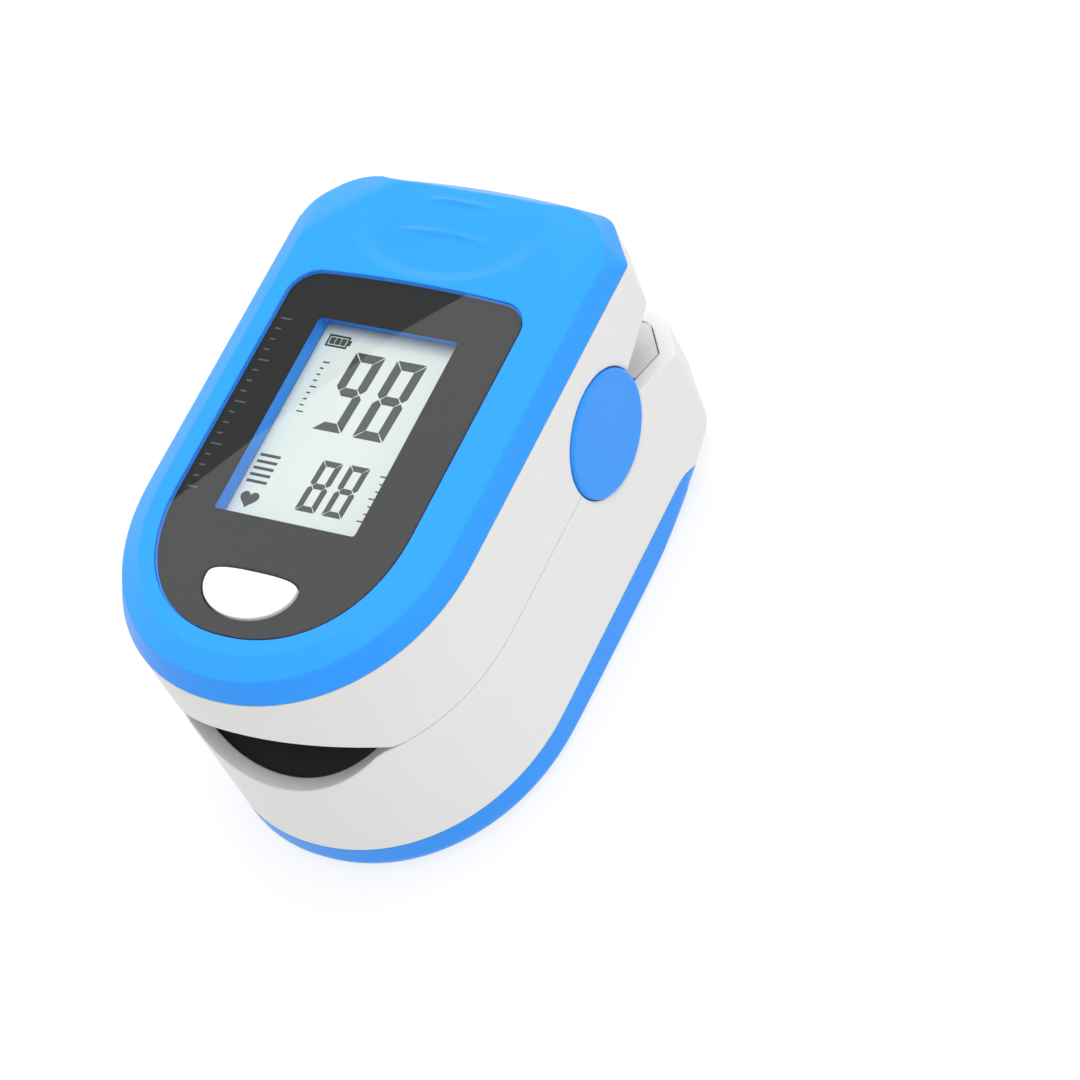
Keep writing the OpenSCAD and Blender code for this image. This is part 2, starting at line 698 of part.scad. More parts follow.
module top_cover() color("dodgerblue") difference() {
    hull() {
        slice(0, cover_z);
        slice(0.2, cover_z + 0.8);
        slice(1.0, top_z - 1.1);
        slice(1.9, top_z - 0.45, 27.2);
        slice(3.0, top_z - 0.01, 25.8);
    }
    // hollow underneath
    hull() {
        slice(1.4, cover_z - 0.02);
        slice(1.5, 29.05, 26.5);
        slice(2.4, cover_in - 0.01, 25.5);
    }
    rear_trim(20);
    // seat of the lens, window and button openings
    plate(lens_outline(-0.06), seat_z, 2);
    box([win_x0 - 0.04, win_x1 + 0.6], [win_y0 - 0.35, win_y1 + 0.6], [20, 40]);
    button_hole(0.12);
    // thumb hollow, an ellipse cut by a shallow bowl
    translate([0, 21.8, 31.5]) scale([1.65, 1, 1]) cylinder(r1 = 4.8, r2 = 6.6, h = 1.6);
}
module display_lens() color("gray", 0.5) difference() {
    plate(lens_outline(0), seat_z + 0.1, top_z - seat_z - 0.1);
    button_hole(0.12);
}
module lens_film() color("dimgray") difference() {
    plate(lens_outline(0.1), seat_z, 0.09);
    box([win_x0, win_x1], [win_y0, win_y1], [20, 40]);
    button_hole(0.15);
}
module power_button() color("white") {
    // retaining flange, body, rounded top and the stem over the switch
    plate(button_outline(-0.7), button_z, 0.6);
    plate(button_outline(0), button_z, top_z - button_z - 0.05);
    hull() {
        plate(button_outline(0), top_z - 0.1, 0.1);
        plate(button_outline(0.15), top_z, 0.1);
        plate(button_outline(0.5), top_z + 0.1, 0.1);
    }
    translate([switch_at.x, switch_at.y, 28.92]) cylinder(r = 1.2, h = 0.5);
}

top_cover();
display_lens();
lens_film();
lcd_panel();
lcd_backlight();
lcd_frame();
lcd_connector_strips();
main_pcb();
microcontroller();
pcb_components();
tact_switch_body();
pcb_screws();
upper_housing();
upper_finger_pad();
upper_sensor_window();
photodiode();
photodiode_board();
power_button();
switch_plunger();
lower_housing();
finger_tray();
lower_finger_pad();
lower_sensor_window();
emitter_board();
emitter_led();
tray_screws();
battery_left();
battery_right();
battery_springs();
battery_contact_plates();
hinge_pin();
hinge_cap_left();
hinge_cap_right();
torsion_spring();
ribbon_cable();
battery_door();
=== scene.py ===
# A clip-on fingertip meter with a display: two hinged jaws, white housings and blue covers.
# It lies flat on z = 0. +X is its right, +Z is up. The rounded front with the finger opening
# points to -Y, the narrow pinch end to +Y, and the hinge pin runs along X.
# Sizes are in millimetres unless a name or comment says metres; MM turns them into metres.
import math

import bmesh
import bpy
import numpy as np
from mathutils import Matrix, Vector
from mathutils.geometry import delaunay_2d_cdt


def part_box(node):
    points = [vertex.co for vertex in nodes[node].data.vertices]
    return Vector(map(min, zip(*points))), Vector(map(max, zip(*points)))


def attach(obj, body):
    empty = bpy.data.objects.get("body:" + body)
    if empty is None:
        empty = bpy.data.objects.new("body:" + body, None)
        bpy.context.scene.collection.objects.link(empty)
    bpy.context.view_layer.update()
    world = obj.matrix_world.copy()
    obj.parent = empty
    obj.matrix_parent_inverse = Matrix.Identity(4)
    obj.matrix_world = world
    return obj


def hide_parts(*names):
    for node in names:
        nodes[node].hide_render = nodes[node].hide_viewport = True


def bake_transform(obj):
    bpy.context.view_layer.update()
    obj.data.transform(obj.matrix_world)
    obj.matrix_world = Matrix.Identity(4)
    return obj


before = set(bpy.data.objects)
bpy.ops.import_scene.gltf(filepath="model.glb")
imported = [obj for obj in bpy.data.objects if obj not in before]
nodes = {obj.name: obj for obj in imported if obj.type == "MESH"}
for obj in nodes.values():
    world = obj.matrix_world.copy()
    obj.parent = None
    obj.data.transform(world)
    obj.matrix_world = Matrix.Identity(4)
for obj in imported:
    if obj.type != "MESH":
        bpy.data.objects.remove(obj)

scene = bpy.context.scene
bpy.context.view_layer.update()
MM = 0.001


def ends(node_name):
    """lowest and highest corner of a CAD node"""
    low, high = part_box(nodes_key(node_name))
    return np.array(low) / MM, np.array(high) / MM


def nodes_key(node_name):
    return node_name


# ---------------------------------------------------------------- driving sizes
HALF_W = ends("upper_housing")[1][0]
FRONT_Y = ends("upper_housing")[0][1]
REAR_Y = ends("lower_housing")[1][1]
COVER_Z = ends("top_cover")[0][2]            # joint between upper housing and top cover
COVER_REAR_Y = ends("top_cover")[1][1]
LENS_Z0, TOP_Z = (corner[2] for corner in ends("display_lens"))
FILM_Z0, FILM_Z1 = (corner[2] for corner in ends("lens_film"))
LCD_Z = ends("lcd_panel")[1][2]
HINGE_Y, HINGE_Z = (sum(ends("hinge_pin")) / 2)[1:]
CAP_X = ends("hinge_cap_right")[1][0]
DOOR_Z = ends("battery_door")[1][2]

# plan outline: superellipse nose, straight sides, angled corner facets, slightly bowed rear
NOSE_LENGTH, NOSE_POWER = 19.0, 2.1
NOSE_Y = FRONT_Y + NOSE_LENGTH
FACET_NX, FACET_NY = 0.780, 0.6255           # facet line: NX * x + NY * y = FACET_C
FACET_C = FACET_NX * HALF_W + FACET_NY * (REAR_Y - 5.7)
REAR_BOW = 0.0045                            # the rear recedes by REAR_BOW * x * x
SIDE_CUT, REAR_CUT = 0.34, 1.3               # fillet lengths at the two ends of a facet
SIDE_END_Y = 21.0

# jaw edges: straight at the sides, arched at the finger opening, splayed behind the hinge
UPPER_EDGE_Z, LOWER_EDGE_Z = 17.8, 17.6
ARCH_R, UPPER_ARCH_Z, LOWER_ARCH_Z = 16.6, 6.4, 30.2
ARCH_END_Y = -13.0
# columns: y behind the hinge, z above the hinge
LOWER_SPLAY = [(0, LOWER_EDGE_Z - HINGE_Z), (6.3, -1.87), (8.68, -2.75), (12.8, -4.35),
               (16.3, -5.49), (20.2, -6.45)]
UPPER_SPLAY = [(0, UPPER_EDGE_Z - HINGE_Z), (6.3, 1.87), (9.11, 2.82), (12.9, 4.15),
               (16.3, 5.25), (20.2, 6.2)]
SHORT = REAR_Y - COVER_REAR_Y                # how much shorter the upper jaw is
DOOR_ARC_Y, DOOR_R = 15.7, 4.6               # the door's side edge curves down from here
SPLIT_Y = 20.45                              # the lower housing's own floor begins here
CORE_STEP_Y = -13.9                          # kept CAD insides are trimmed more before this

# places under the lens
WINDOW = (-8.1, 7.1, -11.85, 9.88)           # display opening: x from, x to, y from, y to
BUTTON_X = -0.15
WELD = 2e-6                                  # metres


# ---------------------------------------------------------------- mesh helpers
def clean(mesh):
    bm = bmesh.new()
    bm.from_mesh(mesh)
    bmesh.ops.remove_doubles(bm, verts=bm.verts, dist=WELD)
    bmesh.ops.dissolve_degenerate(bm, dist=1e-7, edges=bm.edges)
    loose = [v for v in bm.verts if not v.link_faces]
    bmesh.ops.delete(bm, geom=loose, context="VERTS")
    bmesh.ops.recalc_face_normals(bm, faces=bm.faces)
    bm.to_mesh(mesh)
    bm.free()
    mesh.update()


def link_object(name, mesh):
    ob = bpy.data.objects.new(name, mesh)
    scene.collection.objects.link(ob)
    return ob


def make(name, verts, faces):
    mesh = bpy.data.meshes.new(name)
    mesh.from_pydata((np.asarray(verts, float) * MM).tolist(), [], faces)
    clean(mesh)
    return link_object(name, mesh)


def from_cad(node_name, name):
    """a free, welded copy of a CAD node's mesh"""
    mesh = nodes[node_name].data.copy()
    mesh.name = name
    clean(mesh)
    return link_object(name, mesh)


def join(parts):
    """one mesh from several (verts, faces) pairs"""
    verts, faces, start = [], [], 0
    for part_verts, part_faces in parts:
        verts.append(np.asarray(part_verts, float))
        faces += [[i + start for i in face] for face in part_faces]
        start += len(part_verts)
    return np.concatenate(verts), faces


def boolean(ob, tool, operation="DIFFERENCE"):
    """applies a boolean and removes the tool"""
    modifier = ob.modifiers.new("boolean", "BOOLEAN")
    modifier.operation, modifier.solver, modifier.object = operation, "EXACT", tool
    bpy.context.view_layer.update()
    graph = bpy.context.evaluated_depsgraph_get()
    mesh = bpy.data.meshes.new_from_object(
        ob.evaluated_get(graph), preserve_all_data_layers=True, depsgraph=graph)
    ob.modifiers.clear()
    old = ob.data
    ob.data = mesh
    bpy.data.meshes.remove(old)
    bpy.data.objects.remove(tool, do_unlink=True)


def absorb(ob, other):
    """adds another object's mesh to ob"""
    bm = bmesh.new()
    bm.from_mesh(ob.data)
    bm.from_mesh(other.data)
    bpy.data.objects.remove(other, do_unlink=True)
    bm.to_mesh(ob.data)
    bm.free()


def smooth(ob, angle):
    ob.data.polygons.foreach_set("use_smooth", [True] * len(ob.data.polygons))
    ob.data.set_sharp_from_angle(angle=math.radians(angle))


def add_bevel(ob, width, segments, angle):
    modifier = ob.modifiers.new("edges", "BEVEL")
    modifier.width, modifier.segments = width * MM, segments
    modifier.limit_method, modifier.angle_limit = "ANGLE", math.radians(angle)
    modifier.use_clamp_overlap = True


def add_weighted_normals(ob, keep_sharp):
    ob.modifiers.new("shade", "WEIGHTED_NORMAL").keep_sharp = keep_sharp


def done(ob, material, body=None, node_name=None, angle=32, weighted=True, bevel=0):
    ob.data.materials.clear()
    ob.data.materials.append(material)
    ob.data.polygons.foreach_set("material_index", [0] * len(ob.data.polygons))
    smooth(ob, angle)
    if bevel:
        add_bevel(ob, bevel, segments=3, angle=30)
    if weighted:
        add_weighted_normals(ob, keep_sharp=True)
    if body:
        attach(ob, body)
    if node_name:
        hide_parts(node_name)


def grid_faces(rows, cols, close_rows=False):
    """quads between consecutive closed rows of a rows x cols grid of points"""
    faces = []
    for r in range(rows if close_rows else rows - 1):
        this, following = r * cols, (r + 1) % rows * cols
        for c in range(cols):
            c2 = (c + 1) % cols
            faces.append([this + c, this + c2, following + c2, following + c])
    return faces


def capped(rows):
    """solid through closed loops of points, with both ends capped"""
    n, total = len(rows[0]), len(rows) * len(rows[0])
    caps = [list(range(n))[::-1], list(range(total - n, total))]
    return np.concatenate(rows), grid_faces(len(rows), n) + caps


def flat_ring(loop, z):
    """a loop of (x, y) at one height"""
    return np.c_[loop, np.full(len(loop), z)]


def lathe(profile, sides, centre=(0, 0, 0), axis="x", closed=False):
    """solid turned about an axis from (along, radius) pairs; a closed profile has a bore"""
    profile = np.asarray(profile, float)
    turn = np.linspace(0, 2 * math.pi, sides, endpoint=False)
    along = np.repeat(profile[:, 0], sides)
    radius = np.repeat(profile[:, 1], sides)
    c = np.tile(np.cos(turn), len(profile)) * radius
    s = np.tile(np.sin(turn), len(profile)) * radius
    columns = {"x": (along, c, s), "y": (c, along, s), "z": (c, s, along)}[axis]
    return np.stack(columns, 1) + centre, grid_faces(len(profile), sides, closed)


def tube(path, radius, sides):
    """round wire along a list of points, with slightly domed ends"""
    path = np.asarray(path, float)
    tangent = np.gradient(path, axis=0)
    tangent /= np.linalg.norm(tangent, axis=1)[:, None]
    turn = np.linspace(0, 2 * math.pi, sides, endpoint=False)[:, None]
    across = np.cross(tangent[0], [0.13, 0.71, 0.69])
    circles = []
    for t in tangent:
        across = across - t * (across @ t)
        across /= np.linalg.norm(across)
        circles.append(np.cos(turn) * across + np.sin(turn) * np.cross(t, across))
    rings = [p + radius * circle for p, circle in zip(path, circles)]
    first = path[0] - tangent[0] * radius * 0.35 + 0.7 * radius * circles[0]
    last = path[-1] + tangent[-1] * radius * 0.35 + 0.7 * radius * circles[-1]
    return capped([first, *rings, last])


def prism(points, z0, z1):
    """polygon of (x, y) made solid between two heights"""
    n = len(points)
    verts = np.concatenate([flat_ring(points, z0), flat_ring(points, z1)])
    return verts, [list(range(n))[::-1], list(range(n, 2 * n))] + grid_faces(2, n)


def box_loop(xa, ya, xb, yb):
    return [(xa, ya), (xb, ya), (xb, yb), (xa, yb)]


def border(faces):
    """directed edges that only one face uses"""
    edges = dict.fromkeys(e for face in faces for e in zip(face, face[1:] + face[:1]))
    return [(a, b) for a, b in edges if (b, a) not in edges]


def inside(point, loop):
    x, y = point
    a, b = loop, np.roll(loop, -1, 0)
    slope = (b[:, 0] - a[:, 0]) / (b[:, 1] - a[:, 1] + 1e-30)
    crossed = ((a[:, 1] > y) != (b[:, 1] > y)) & (x < slope * (y - a[:, 1]) + a[:, 0])
    return crossed.sum() % 2 == 1


def plate(outer, holes, z0, z1):
    """flat plate with holes; all loops are (x, y), counter-clockwise"""
    loops = [outer, *holes]
    points, edges = [], []
    for loop in loops:
        n = len(points)
        points += [Vector((x, y)) for x, y in loop]
        edges += [(n + i, n + (i + 1) % len(loop)) for i in range(len(loop))]
    flat, _, cells, _, _, _ = delaunay_2d_cdt(points, edges, [], 0, 1e-6)
    keep = []
    for cell_ in cells:
        middle = sum((flat[i] for i in cell_), Vector((0, 0))) / len(cell_)
        if inside(middle, outer) and not any(inside(middle, hole) for hole in holes):
            keep.append(list(cell_))
    k = len(flat)
    verts = [[p.x, p.y, z] for z in (z0, z1) for p in flat]
    faces = [face[::-1] for face in keep] + [[i + k for i in face] for face in keep]
    faces += [[a, b, b + k, a + k] for a, b in border(keep)]
    return np.array(verts), faces


def rounded_box(xa, xb, ya, yb, r=0.25, steps=4):
    corners = ((xb - r, yb - r, 0), (xa + r, yb - r, 90),
               (xa + r, ya + r, 180), (xb - r, ya + r, 270))
    return np.array([(cx + r * math.cos(t), cy + r * math.sin(t))
                     for cx, cy, start in corners
                     for t in np.radians(start + np.linspace(0, 90, steps))])


def bezier(p0, control, p1, s):
    return (1 - s) ** 2 * p0 + 2 * s * (1 - s) * control + s * s * p1


def look_up(value, table, column=1):
    """linear interpolation of a table's column over its first column"""
    table = np.asarray(table, float)
    return np.interp(value, table[:, 0], table[:, column])


def smooth_min(a, b, k):
    h = np.clip(0.5 + 0.5 * (b - a) / k, 0, 1)
    return b * (1 - h) + a * h - k * h * (1 - h)


def smooth_step(x, a, b):
    t = np.clip((np.asarray(x, float) - a) / (b - a), 0, 1)
    return t * t * (3 - 2 * t)


# ---------------------------------------------------------------- the plan outline
# The right half is sampled from the front middle to the rear middle. Each sample has a kind
# and a parameter: an angle on the nose, y on the side, and a share of the length elsewhere.
nose_share = (1 - np.cos(np.linspace(0, math.pi / 2, 33))) ** 0.62
door_turn = np.radians(np.linspace(0, 90, 13))
side_ys = sorted(set(np.round(np.concatenate([
    np.linspace(NOSE_Y, 2.0, 9), np.arange(3.0, 15.6, 0.7), [HINGE_Y, 17.2],
    DOOR_ARC_Y + (DOOR_R + 0.1) * np.sin(door_turn), [SPLIT_Y, SIDE_END_Y]]), 5)))
FILLET_STEPS = (0.2, 0.4, 0.6, 0.8)
SAMPLES = [(kind, value) for kind, values in (
    ("nose", np.radians(270 + 90 * nose_share)[:-1]),
    ("side", side_ys),
    ("side_end", np.linspace(0, 1, 8)[1:]),
    ("side_fillet", FILLET_STEPS),
    ("facet", np.linspace(0, 1, 11)),
    ("rear_fillet", FILLET_STEPS),
    ("rear", np.linspace(0, 1, 41))) for value in values]
N = len(SAMPLES)
M = 2 * N - 2                                # samples of the whole outline
KIND = np.array([kind for kind, _ in SAMPLES])
SHARE = np.array([value for _, value in SAMPLES], float)
NOSE = KIND == "nose"
CORNER = np.isin(KIND, ["side_fillet", "facet", "rear_fillet"])
FLIP_X = np.array([-1, 1, 1])


def pick(curves):
    """takes every sample from the curve of its kind"""
    out = np.zeros((N, 2))
    for kind, points in curves.items():
        out[KIND == kind] = points[KIND == kind]
    out[0, 0] = 0.0
    return out


def nose_arc(half_w, depth, y, power):
    c, s = np.abs(np.cos(SHARE)), np.abs(np.sin(SHARE))
    return np.stack([half_w * c ** (2 / power), y - depth * s ** (2 / power)], 1)


def plan(inset, soft=0.0):
    """right half of the outline moved inwards by inset (a number, or one per sample);
    soft lengthens the fillets"""
    d = np.broadcast_to(np.asarray(inset, float), (N,))
    half_w = HALF_W - d
    side_y = (FACET_C - d - FACET_NX * half_w) / FACET_NY
    # where the facet line meets the bowed rear
    constant = FACET_C - FACET_NY * REAR_Y - (1 - FACET_NY) * d
    bow = 2 * FACET_NY * REAR_BOW
    root = np.sqrt(FACET_NX * FACET_NX - 2 * bow * constant)
    rear_x = (FACET_NX - root) / bow

    def on_rear(x):
        return np.stack([x, REAR_Y - d - REAR_BOW * x * x], 1)

    side_corner, rear_corner = np.stack([half_w, side_y], 1), on_rear(rear_x)
    side_cut, rear_cut = SIDE_CUT + soft, REAR_CUT + soft
    facet_length = np.linalg.norm(rear_corner - side_corner, axis=1)
    fit = np.minimum(1.0, 0.86 * facet_length / (side_cut + rear_cut))
    side_cut = np.minimum(side_cut * fit, np.maximum(side_y - 21.25, 0.2))
    rear_cut = rear_cut * fit
    along = np.array([-FACET_NY, FACET_NX])
    facet_start = side_corner + side_cut[:, None] * along
    facet_end = rear_corner - rear_cut[:, None] * along
    rear_start = rear_x - rear_cut * 0.99
    s = SHARE[:, None]
    side_end = SIDE_END_Y + SHARE * (side_y - side_cut - SIDE_END_Y)
    return pick({
        "nose": nose_arc(half_w, NOSE_LENGTH - d, NOSE_Y, NOSE_POWER),
        "side": np.stack([half_w, SHARE], 1),
        "side_end": np.stack([half_w, side_end], 1),
        "side_fillet": bezier(side_corner - side_cut[:, None] * np.array([0.0, 1.0]),
                              side_corner, facet_start, s),
        "facet": facet_start + s * (facet_end - facet_start),
        "rear_fillet": bezier(facet_end, rear_corner, on_rear(rear_start), s),
        "rear": on_rear(rear_start * (1 - SHARE))})


def bezel(inset):
    """right half of the lens outline moved inwards, with the same samples"""
    half_w, nose_y, length, corner_r = 12.7, -10.4, 22.1, 3
    corner_x, corner_y = half_w - corner_r, nose_y + length
    y = np.where(KIND == "side", SHARE, SIDE_END_Y + SHARE * 2.4)
    y = nose_y + (y - NOSE_Y) / (SIDE_END_Y + 2.4 - NOSE_Y) * length
    side = np.stack([np.full(N, half_w - inset), y], 1)
    x = corner_x * (1 - SHARE)
    out = pick({"nose": nose_arc(half_w - inset, 13.9 - inset, nose_y, 2.2),
                "side": side, "side_end": side,
                "rear": np.stack([x, 15.05 - inset - 0.0037 * x * x], 1)})
    count = CORNER.sum()
    turn = np.radians(90 * (np.arange(count) + 1) / (count + 1))
    out[CORNER] = np.stack([corner_x + (corner_r - inset) * np.cos(turn),
                            corner_y + (corner_r - inset) * np.sin(turn)], 1)
    return out


def whole(ring):
    """closed loop from its right half: right side front to back, then the left side"""
    return np.concatenate([ring, ring[::-1][1:-1] * FLIP_X[:ring.shape[1]]])


def at(xy, z):
    return np.c_[xy, np.broadcast_to(z, (N,))]


def swept(rings):
    """closed tube through right-half rings that go round the body"""
    return np.concatenate([whole(r) for r in rings]), grid_faces(len(rings), M, True)


def shorten(verts):
    """stops the upper jaw a little short of the lower one at the pinch end"""
    out = np.array(verts, float)
    out[:, 1] -= SHORT * smooth_step(out[:, 1], 16.5, COVER_REAR_Y)
    return out


def arch(x):
    return np.sqrt(np.maximum(ARCH_R ** 2 - x * x, 0))


def upper_edge(xy):
    x, y = xy[:, 0], xy[:, 1]
    z = np.where(y < ARCH_END_Y, np.maximum(UPPER_EDGE_Z, UPPER_ARCH_Z + arch(x)), UPPER_EDGE_Z)
    return np.where(y > HINGE_Y, HINGE_Z + look_up(y - HINGE_Y, UPPER_SPLAY), z)


def lower_edge(xy):
    x, y = xy[:, 0], xy[:, 1]
    z = np.where(y < ARCH_END_Y, np.minimum(LOWER_EDGE_Z, LOWER_ARCH_Z - arch(x)), LOWER_EDGE_Z)
    return np.where(y > HINGE_Y, HINGE_Z + look_up(y - HINGE_Y, LOWER_SPLAY), z)


def even_out(values):
    """running average along the samples"""
    for _ in range(3):
        values = np.convolve(np.pad(values, 2, mode="edge"), np.ones(5) / 5, "valid")
    return values


# ---------------------------------------------------------------- the rounded bottom edge
# A quarter ellipse at every sample. Columns: y (sides) or x (nose, rear), height, depth.
SIDE_ROUND = [(-16, 1.5, 1.5), (-6, 1.1, 1.1), (9, 1.0, 1.0),
              (14, 1.8, 1.7), (19, 3.8, 3.3), (23.8, 6.0, 4.7)]
NOSE_ROUND = [(0, 2.0, 2.0), (6, 1.95, 1.95), (13, 1.9, 1.9), (16, 1.75, 1.75), (17.5, 1.5, 1.5)]
REAR_ROUND = [(0, 1.9, 2.0), (6, 2.1, 2.2), (9.7, 2.9, 2.9), (11.5, 3.9, 3.6),
              (12.8, 5.4, 4.2), (13.9, 7.6, 4.9), (15.5, 7.8, 5.1), (17.5, 6.0, 4.7)]
OUTLINE = plan(0)
OUT_X, OUT_Y = OUTLINE[:, 0], OUTLINE[:, 1]


def round_size(column):
    front = np.where(NOSE, look_up(OUT_X, NOSE_ROUND, column), look_up(OUT_Y, SIDE_ROUND, column))
    rear = look_up(OUT_X, REAR_ROUND, column)
    return even_out(np.where(CORNER | (KIND == "rear"), rear, front))


ROUND_H, ROUND_D = round_size(1), round_size(2)
QUARTER = math.pi / 2


def round_at(angle, inset=0.0):
    """inward distance and height on the rounded edge; angle 0 is the wall, QUARTER the bottom"""
    d = inset + np.maximum(ROUND_D - inset, 0.2) * (1 - np.cos(angle))
    z = inset + np.maximum(ROUND_H - inset, 0.2) * (1 - np.sin(angle))
    return d, z


def round_ring(angle, inset=0.0):
    d, z = round_at(angle, inset)
    return at(plan(d), z)


def round_angle(z, inset=0.0):
    """angle at which the rounded edge passes a height, 0 where it is still the wall"""
    return np.arcsin(np.clip((ROUND_H - z) / np.maximum(ROUND_H - inset, 0.2), 0, 1))


def door_edge(gap):
    """height of the door's edge along the side, raised by a gap"""
    drop = np.maximum((DOOR_R + gap) ** 2 - (OUT_Y - DOOR_ARC_Y) ** 2, 0)
    return np.where(OUT_Y < DOOR_ARC_Y, DOOR_Z + gap, DOOR_Z - DOOR_R + np.sqrt(drop))


# ---------------------------------------------------------------- material helpers
def fill(tree, shader, inputs):
    """sets or links a node's inputs; a socket as value makes a link"""
    for key, value in inputs.items():
        if isinstance(value, bpy.types.NodeSocket):
            tree.links.new(value, shader.inputs[key])
        else:
            shader.inputs[key].default_value = value


def node(tree, kind, inputs=None, **settings):
    new = tree.nodes.new(kind)
    for key, value in settings.items():
        setattr(new, key, value)
    fill(tree, new, inputs or {})
    return new


def noise(tree, vector, **inputs):
    return node(tree, "ShaderNodeTexNoise", {"Vector": vector, **inputs}).outputs["Fac"]


def math_node(tree, operation, *values):
    return node(tree, "ShaderNodeMath", dict(enumerate(values)), operation=operation).outputs[0]


def mix_colour(tree, factor, a, b):
    inputs = {"Factor": factor, "A": a, "B": b}
    return node(tree, "ShaderNodeMix", inputs, data_type="RGBA").outputs["Result"]


def map_range(tree, value, source, target):
    inputs = {"Value": value, "From Min": source[0], "From Max": source[1],
              "To Min": target[0], "To Max": target[1]}
    return node(tree, "ShaderNodeMapRange", inputs).outputs["Result"]


def mix_shader(tree, factor, a, b):
    return node(tree, "ShaderNodeMixShader", {0: factor, 1: a, 2: b}).outputs[0]


def bump(tree, height, strength, **inputs):
    inputs = {"Strength": strength, "Distance": 0.00002, "Height": height, **inputs}
    return node(tree, "ShaderNodeBump", inputs).outputs["Normal"]


def new_material(name):
    material = bpy.data.materials.new(name)
    material.use_nodes = True
    return material, material.node_tree


def plastic(name, colour, rough=0.36, tint=0.05, grain=0.35, grain_size=9000.0, rough_range=0.1,
            edge_wear_and_highlight=0.25, edge_wear_and_highlight_colour=None, metallic=0.0, spec=0.5, coat=0.0, sheen=0.0,
            mottle=140.0, subsurface=0.0, aniso=0.0, streak=None):
    """Opaque surface with rounded edges that turn to a lighter tone, partly wear and partly
    painted highlight.
    tint: strength of the colour change, mottle: its noise scale; grain, grain_size: strength
    and noise scale of the bump; rough_range: spread of the roughness; edge_wear_and_highlight: how
    far edges turn to edge_wear_and_highlight_colour; streak: x, y, z scale that stretches the
    grain."""
    material, tree = new_material(name)
    shader = tree.nodes["Principled BSDF"]
    place = node(tree, "ShaderNodeTexCoord").outputs["Object"]
    grain_place = place
    if streak:
        mapping = node(tree, "ShaderNodeMapping", {"Vector": place, "Scale": streak})
        grain_place = mapping.outputs["Vector"]
    broad = noise(tree, place, Scale=mottle, Detail=3.0, Roughness=0.55)
    fine = noise(tree, place, Scale=mottle * 9, Detail=4.0, Roughness=0.6)
    grains = noise(tree, grain_place, Scale=grain_size, Detail=2.0, Roughness=0.6)

    # colour between a darker and a lighter tone
    colour = np.array(colour, float)
    dark = colour * (1 - tint)
    light = np.minimum(colour * (1 + tint * 0.6) + tint * 0.02, 1)
    tone = math_node(tree, "MULTIPLY_ADD", fine, 0.35, math_node(tree, "MULTIPLY", broad, 0.65))
    body_colour = mix_colour(tree, tone, (*dark, 1), (*light, 1))

    # edges are where the rounded normal leaves the true one
    rounded = node(tree, "ShaderNodeBevel", {"Radius": 0.00018}, samples=6).outputs["Normal"]
    true_normal = node(tree, "ShaderNodeNewGeometry").outputs["True Normal"]
    agreement = node(tree, "ShaderNodeVectorMath", {0: rounded, 1: true_normal},
                     operation="DOT_PRODUCT").outputs["Value"]
    # edges turn towards the lighter edge colour: partly wear, partly a painted highlight along the
    # rounded edges
    edge = map_range(tree, agreement, source=(0.985, 0.86), target=(0.0, edge_wear_and_highlight))
    worn_and_highlit = math_node(tree, "MULTIPLY", edge, fine)
    if edge_wear_and_highlight_colour is None:
        edge_wear_and_highlight_colour = np.minimum(colour * 1.3 + 0.06, 1)

    roughness = map_range(tree, broad, source=(0.1, 0.9),
                          target=(max(rough - rough_range, 0.02), rough + rough_range))
    fill(tree, shader, {
        "Base Color": mix_colour(tree, worn_and_highlit, body_colour, (*edge_wear_and_highlight_colour, 1)),
        "Roughness": roughness,
        "Normal": bump(tree, grains, grain, Normal=rounded),
        "Metallic": metallic, "Specular IOR Level": spec, "Sheen Weight": sheen,
        "Coat Weight": coat, "Coat Roughness": 0.12, "Anisotropic": aniso})
    if subsurface:
        fill(tree, shader, {"Subsurface Weight": subsurface, "Subsurface Scale": 0.002})
    return material


def clear(name, tint, rough, vary=0.05, ripple=0.02, haze=0.0):
    """Clear plate: light passes straight through and a mirror film lies on top.
    vary: extra roughness of the smears, ripple: bump strength, haze: share of diffuse light."""
    material, tree = new_material(name)
    tree.nodes.clear()
    place = node(tree, "ShaderNodeTexCoord").outputs["Object"]
    smears = noise(tree, place, Scale=160.0, Detail=5.0, Roughness=0.6, Distortion=0.6)
    ripples = noise(tree, place, Scale=900.0, Detail=2.0)
    through = node(tree, "ShaderNodeBsdfTransparent", {"Color": (*tint, 1)}).outputs[0]
    mirror = node(tree, "ShaderNodeBsdfGlossy", {
        "Color": (1, 1, 1, 1),
        "Roughness": map_range(tree, smears, source=(0.35, 0.75), target=(rough, rough + vary)),
        "Normal": bump(tree, ripples, ripple)}).outputs[0]
    # the film reflects on front faces only
    backfacing = node(tree, "ShaderNodeNewGeometry").outputs["Backfacing"]
    front = math_node(tree, "SUBTRACT", 1.0, backfacing)
    fresnel = node(tree, "ShaderNodeFresnel", {"IOR": 1.5}).outputs[0]
    surface = mix_shader(tree, math_node(tree, "MULTIPLY", fresnel, front), through, mirror)
    if haze:
        diffuse = node(tree, "ShaderNodeBsdfDiffuse", {"Color": (*tint, 1)}).outputs[0]
        surface = mix_shader(tree, haze, surface, diffuse)
    node(tree, "ShaderNodeOutputMaterial", {"Surface": surface})
    return material
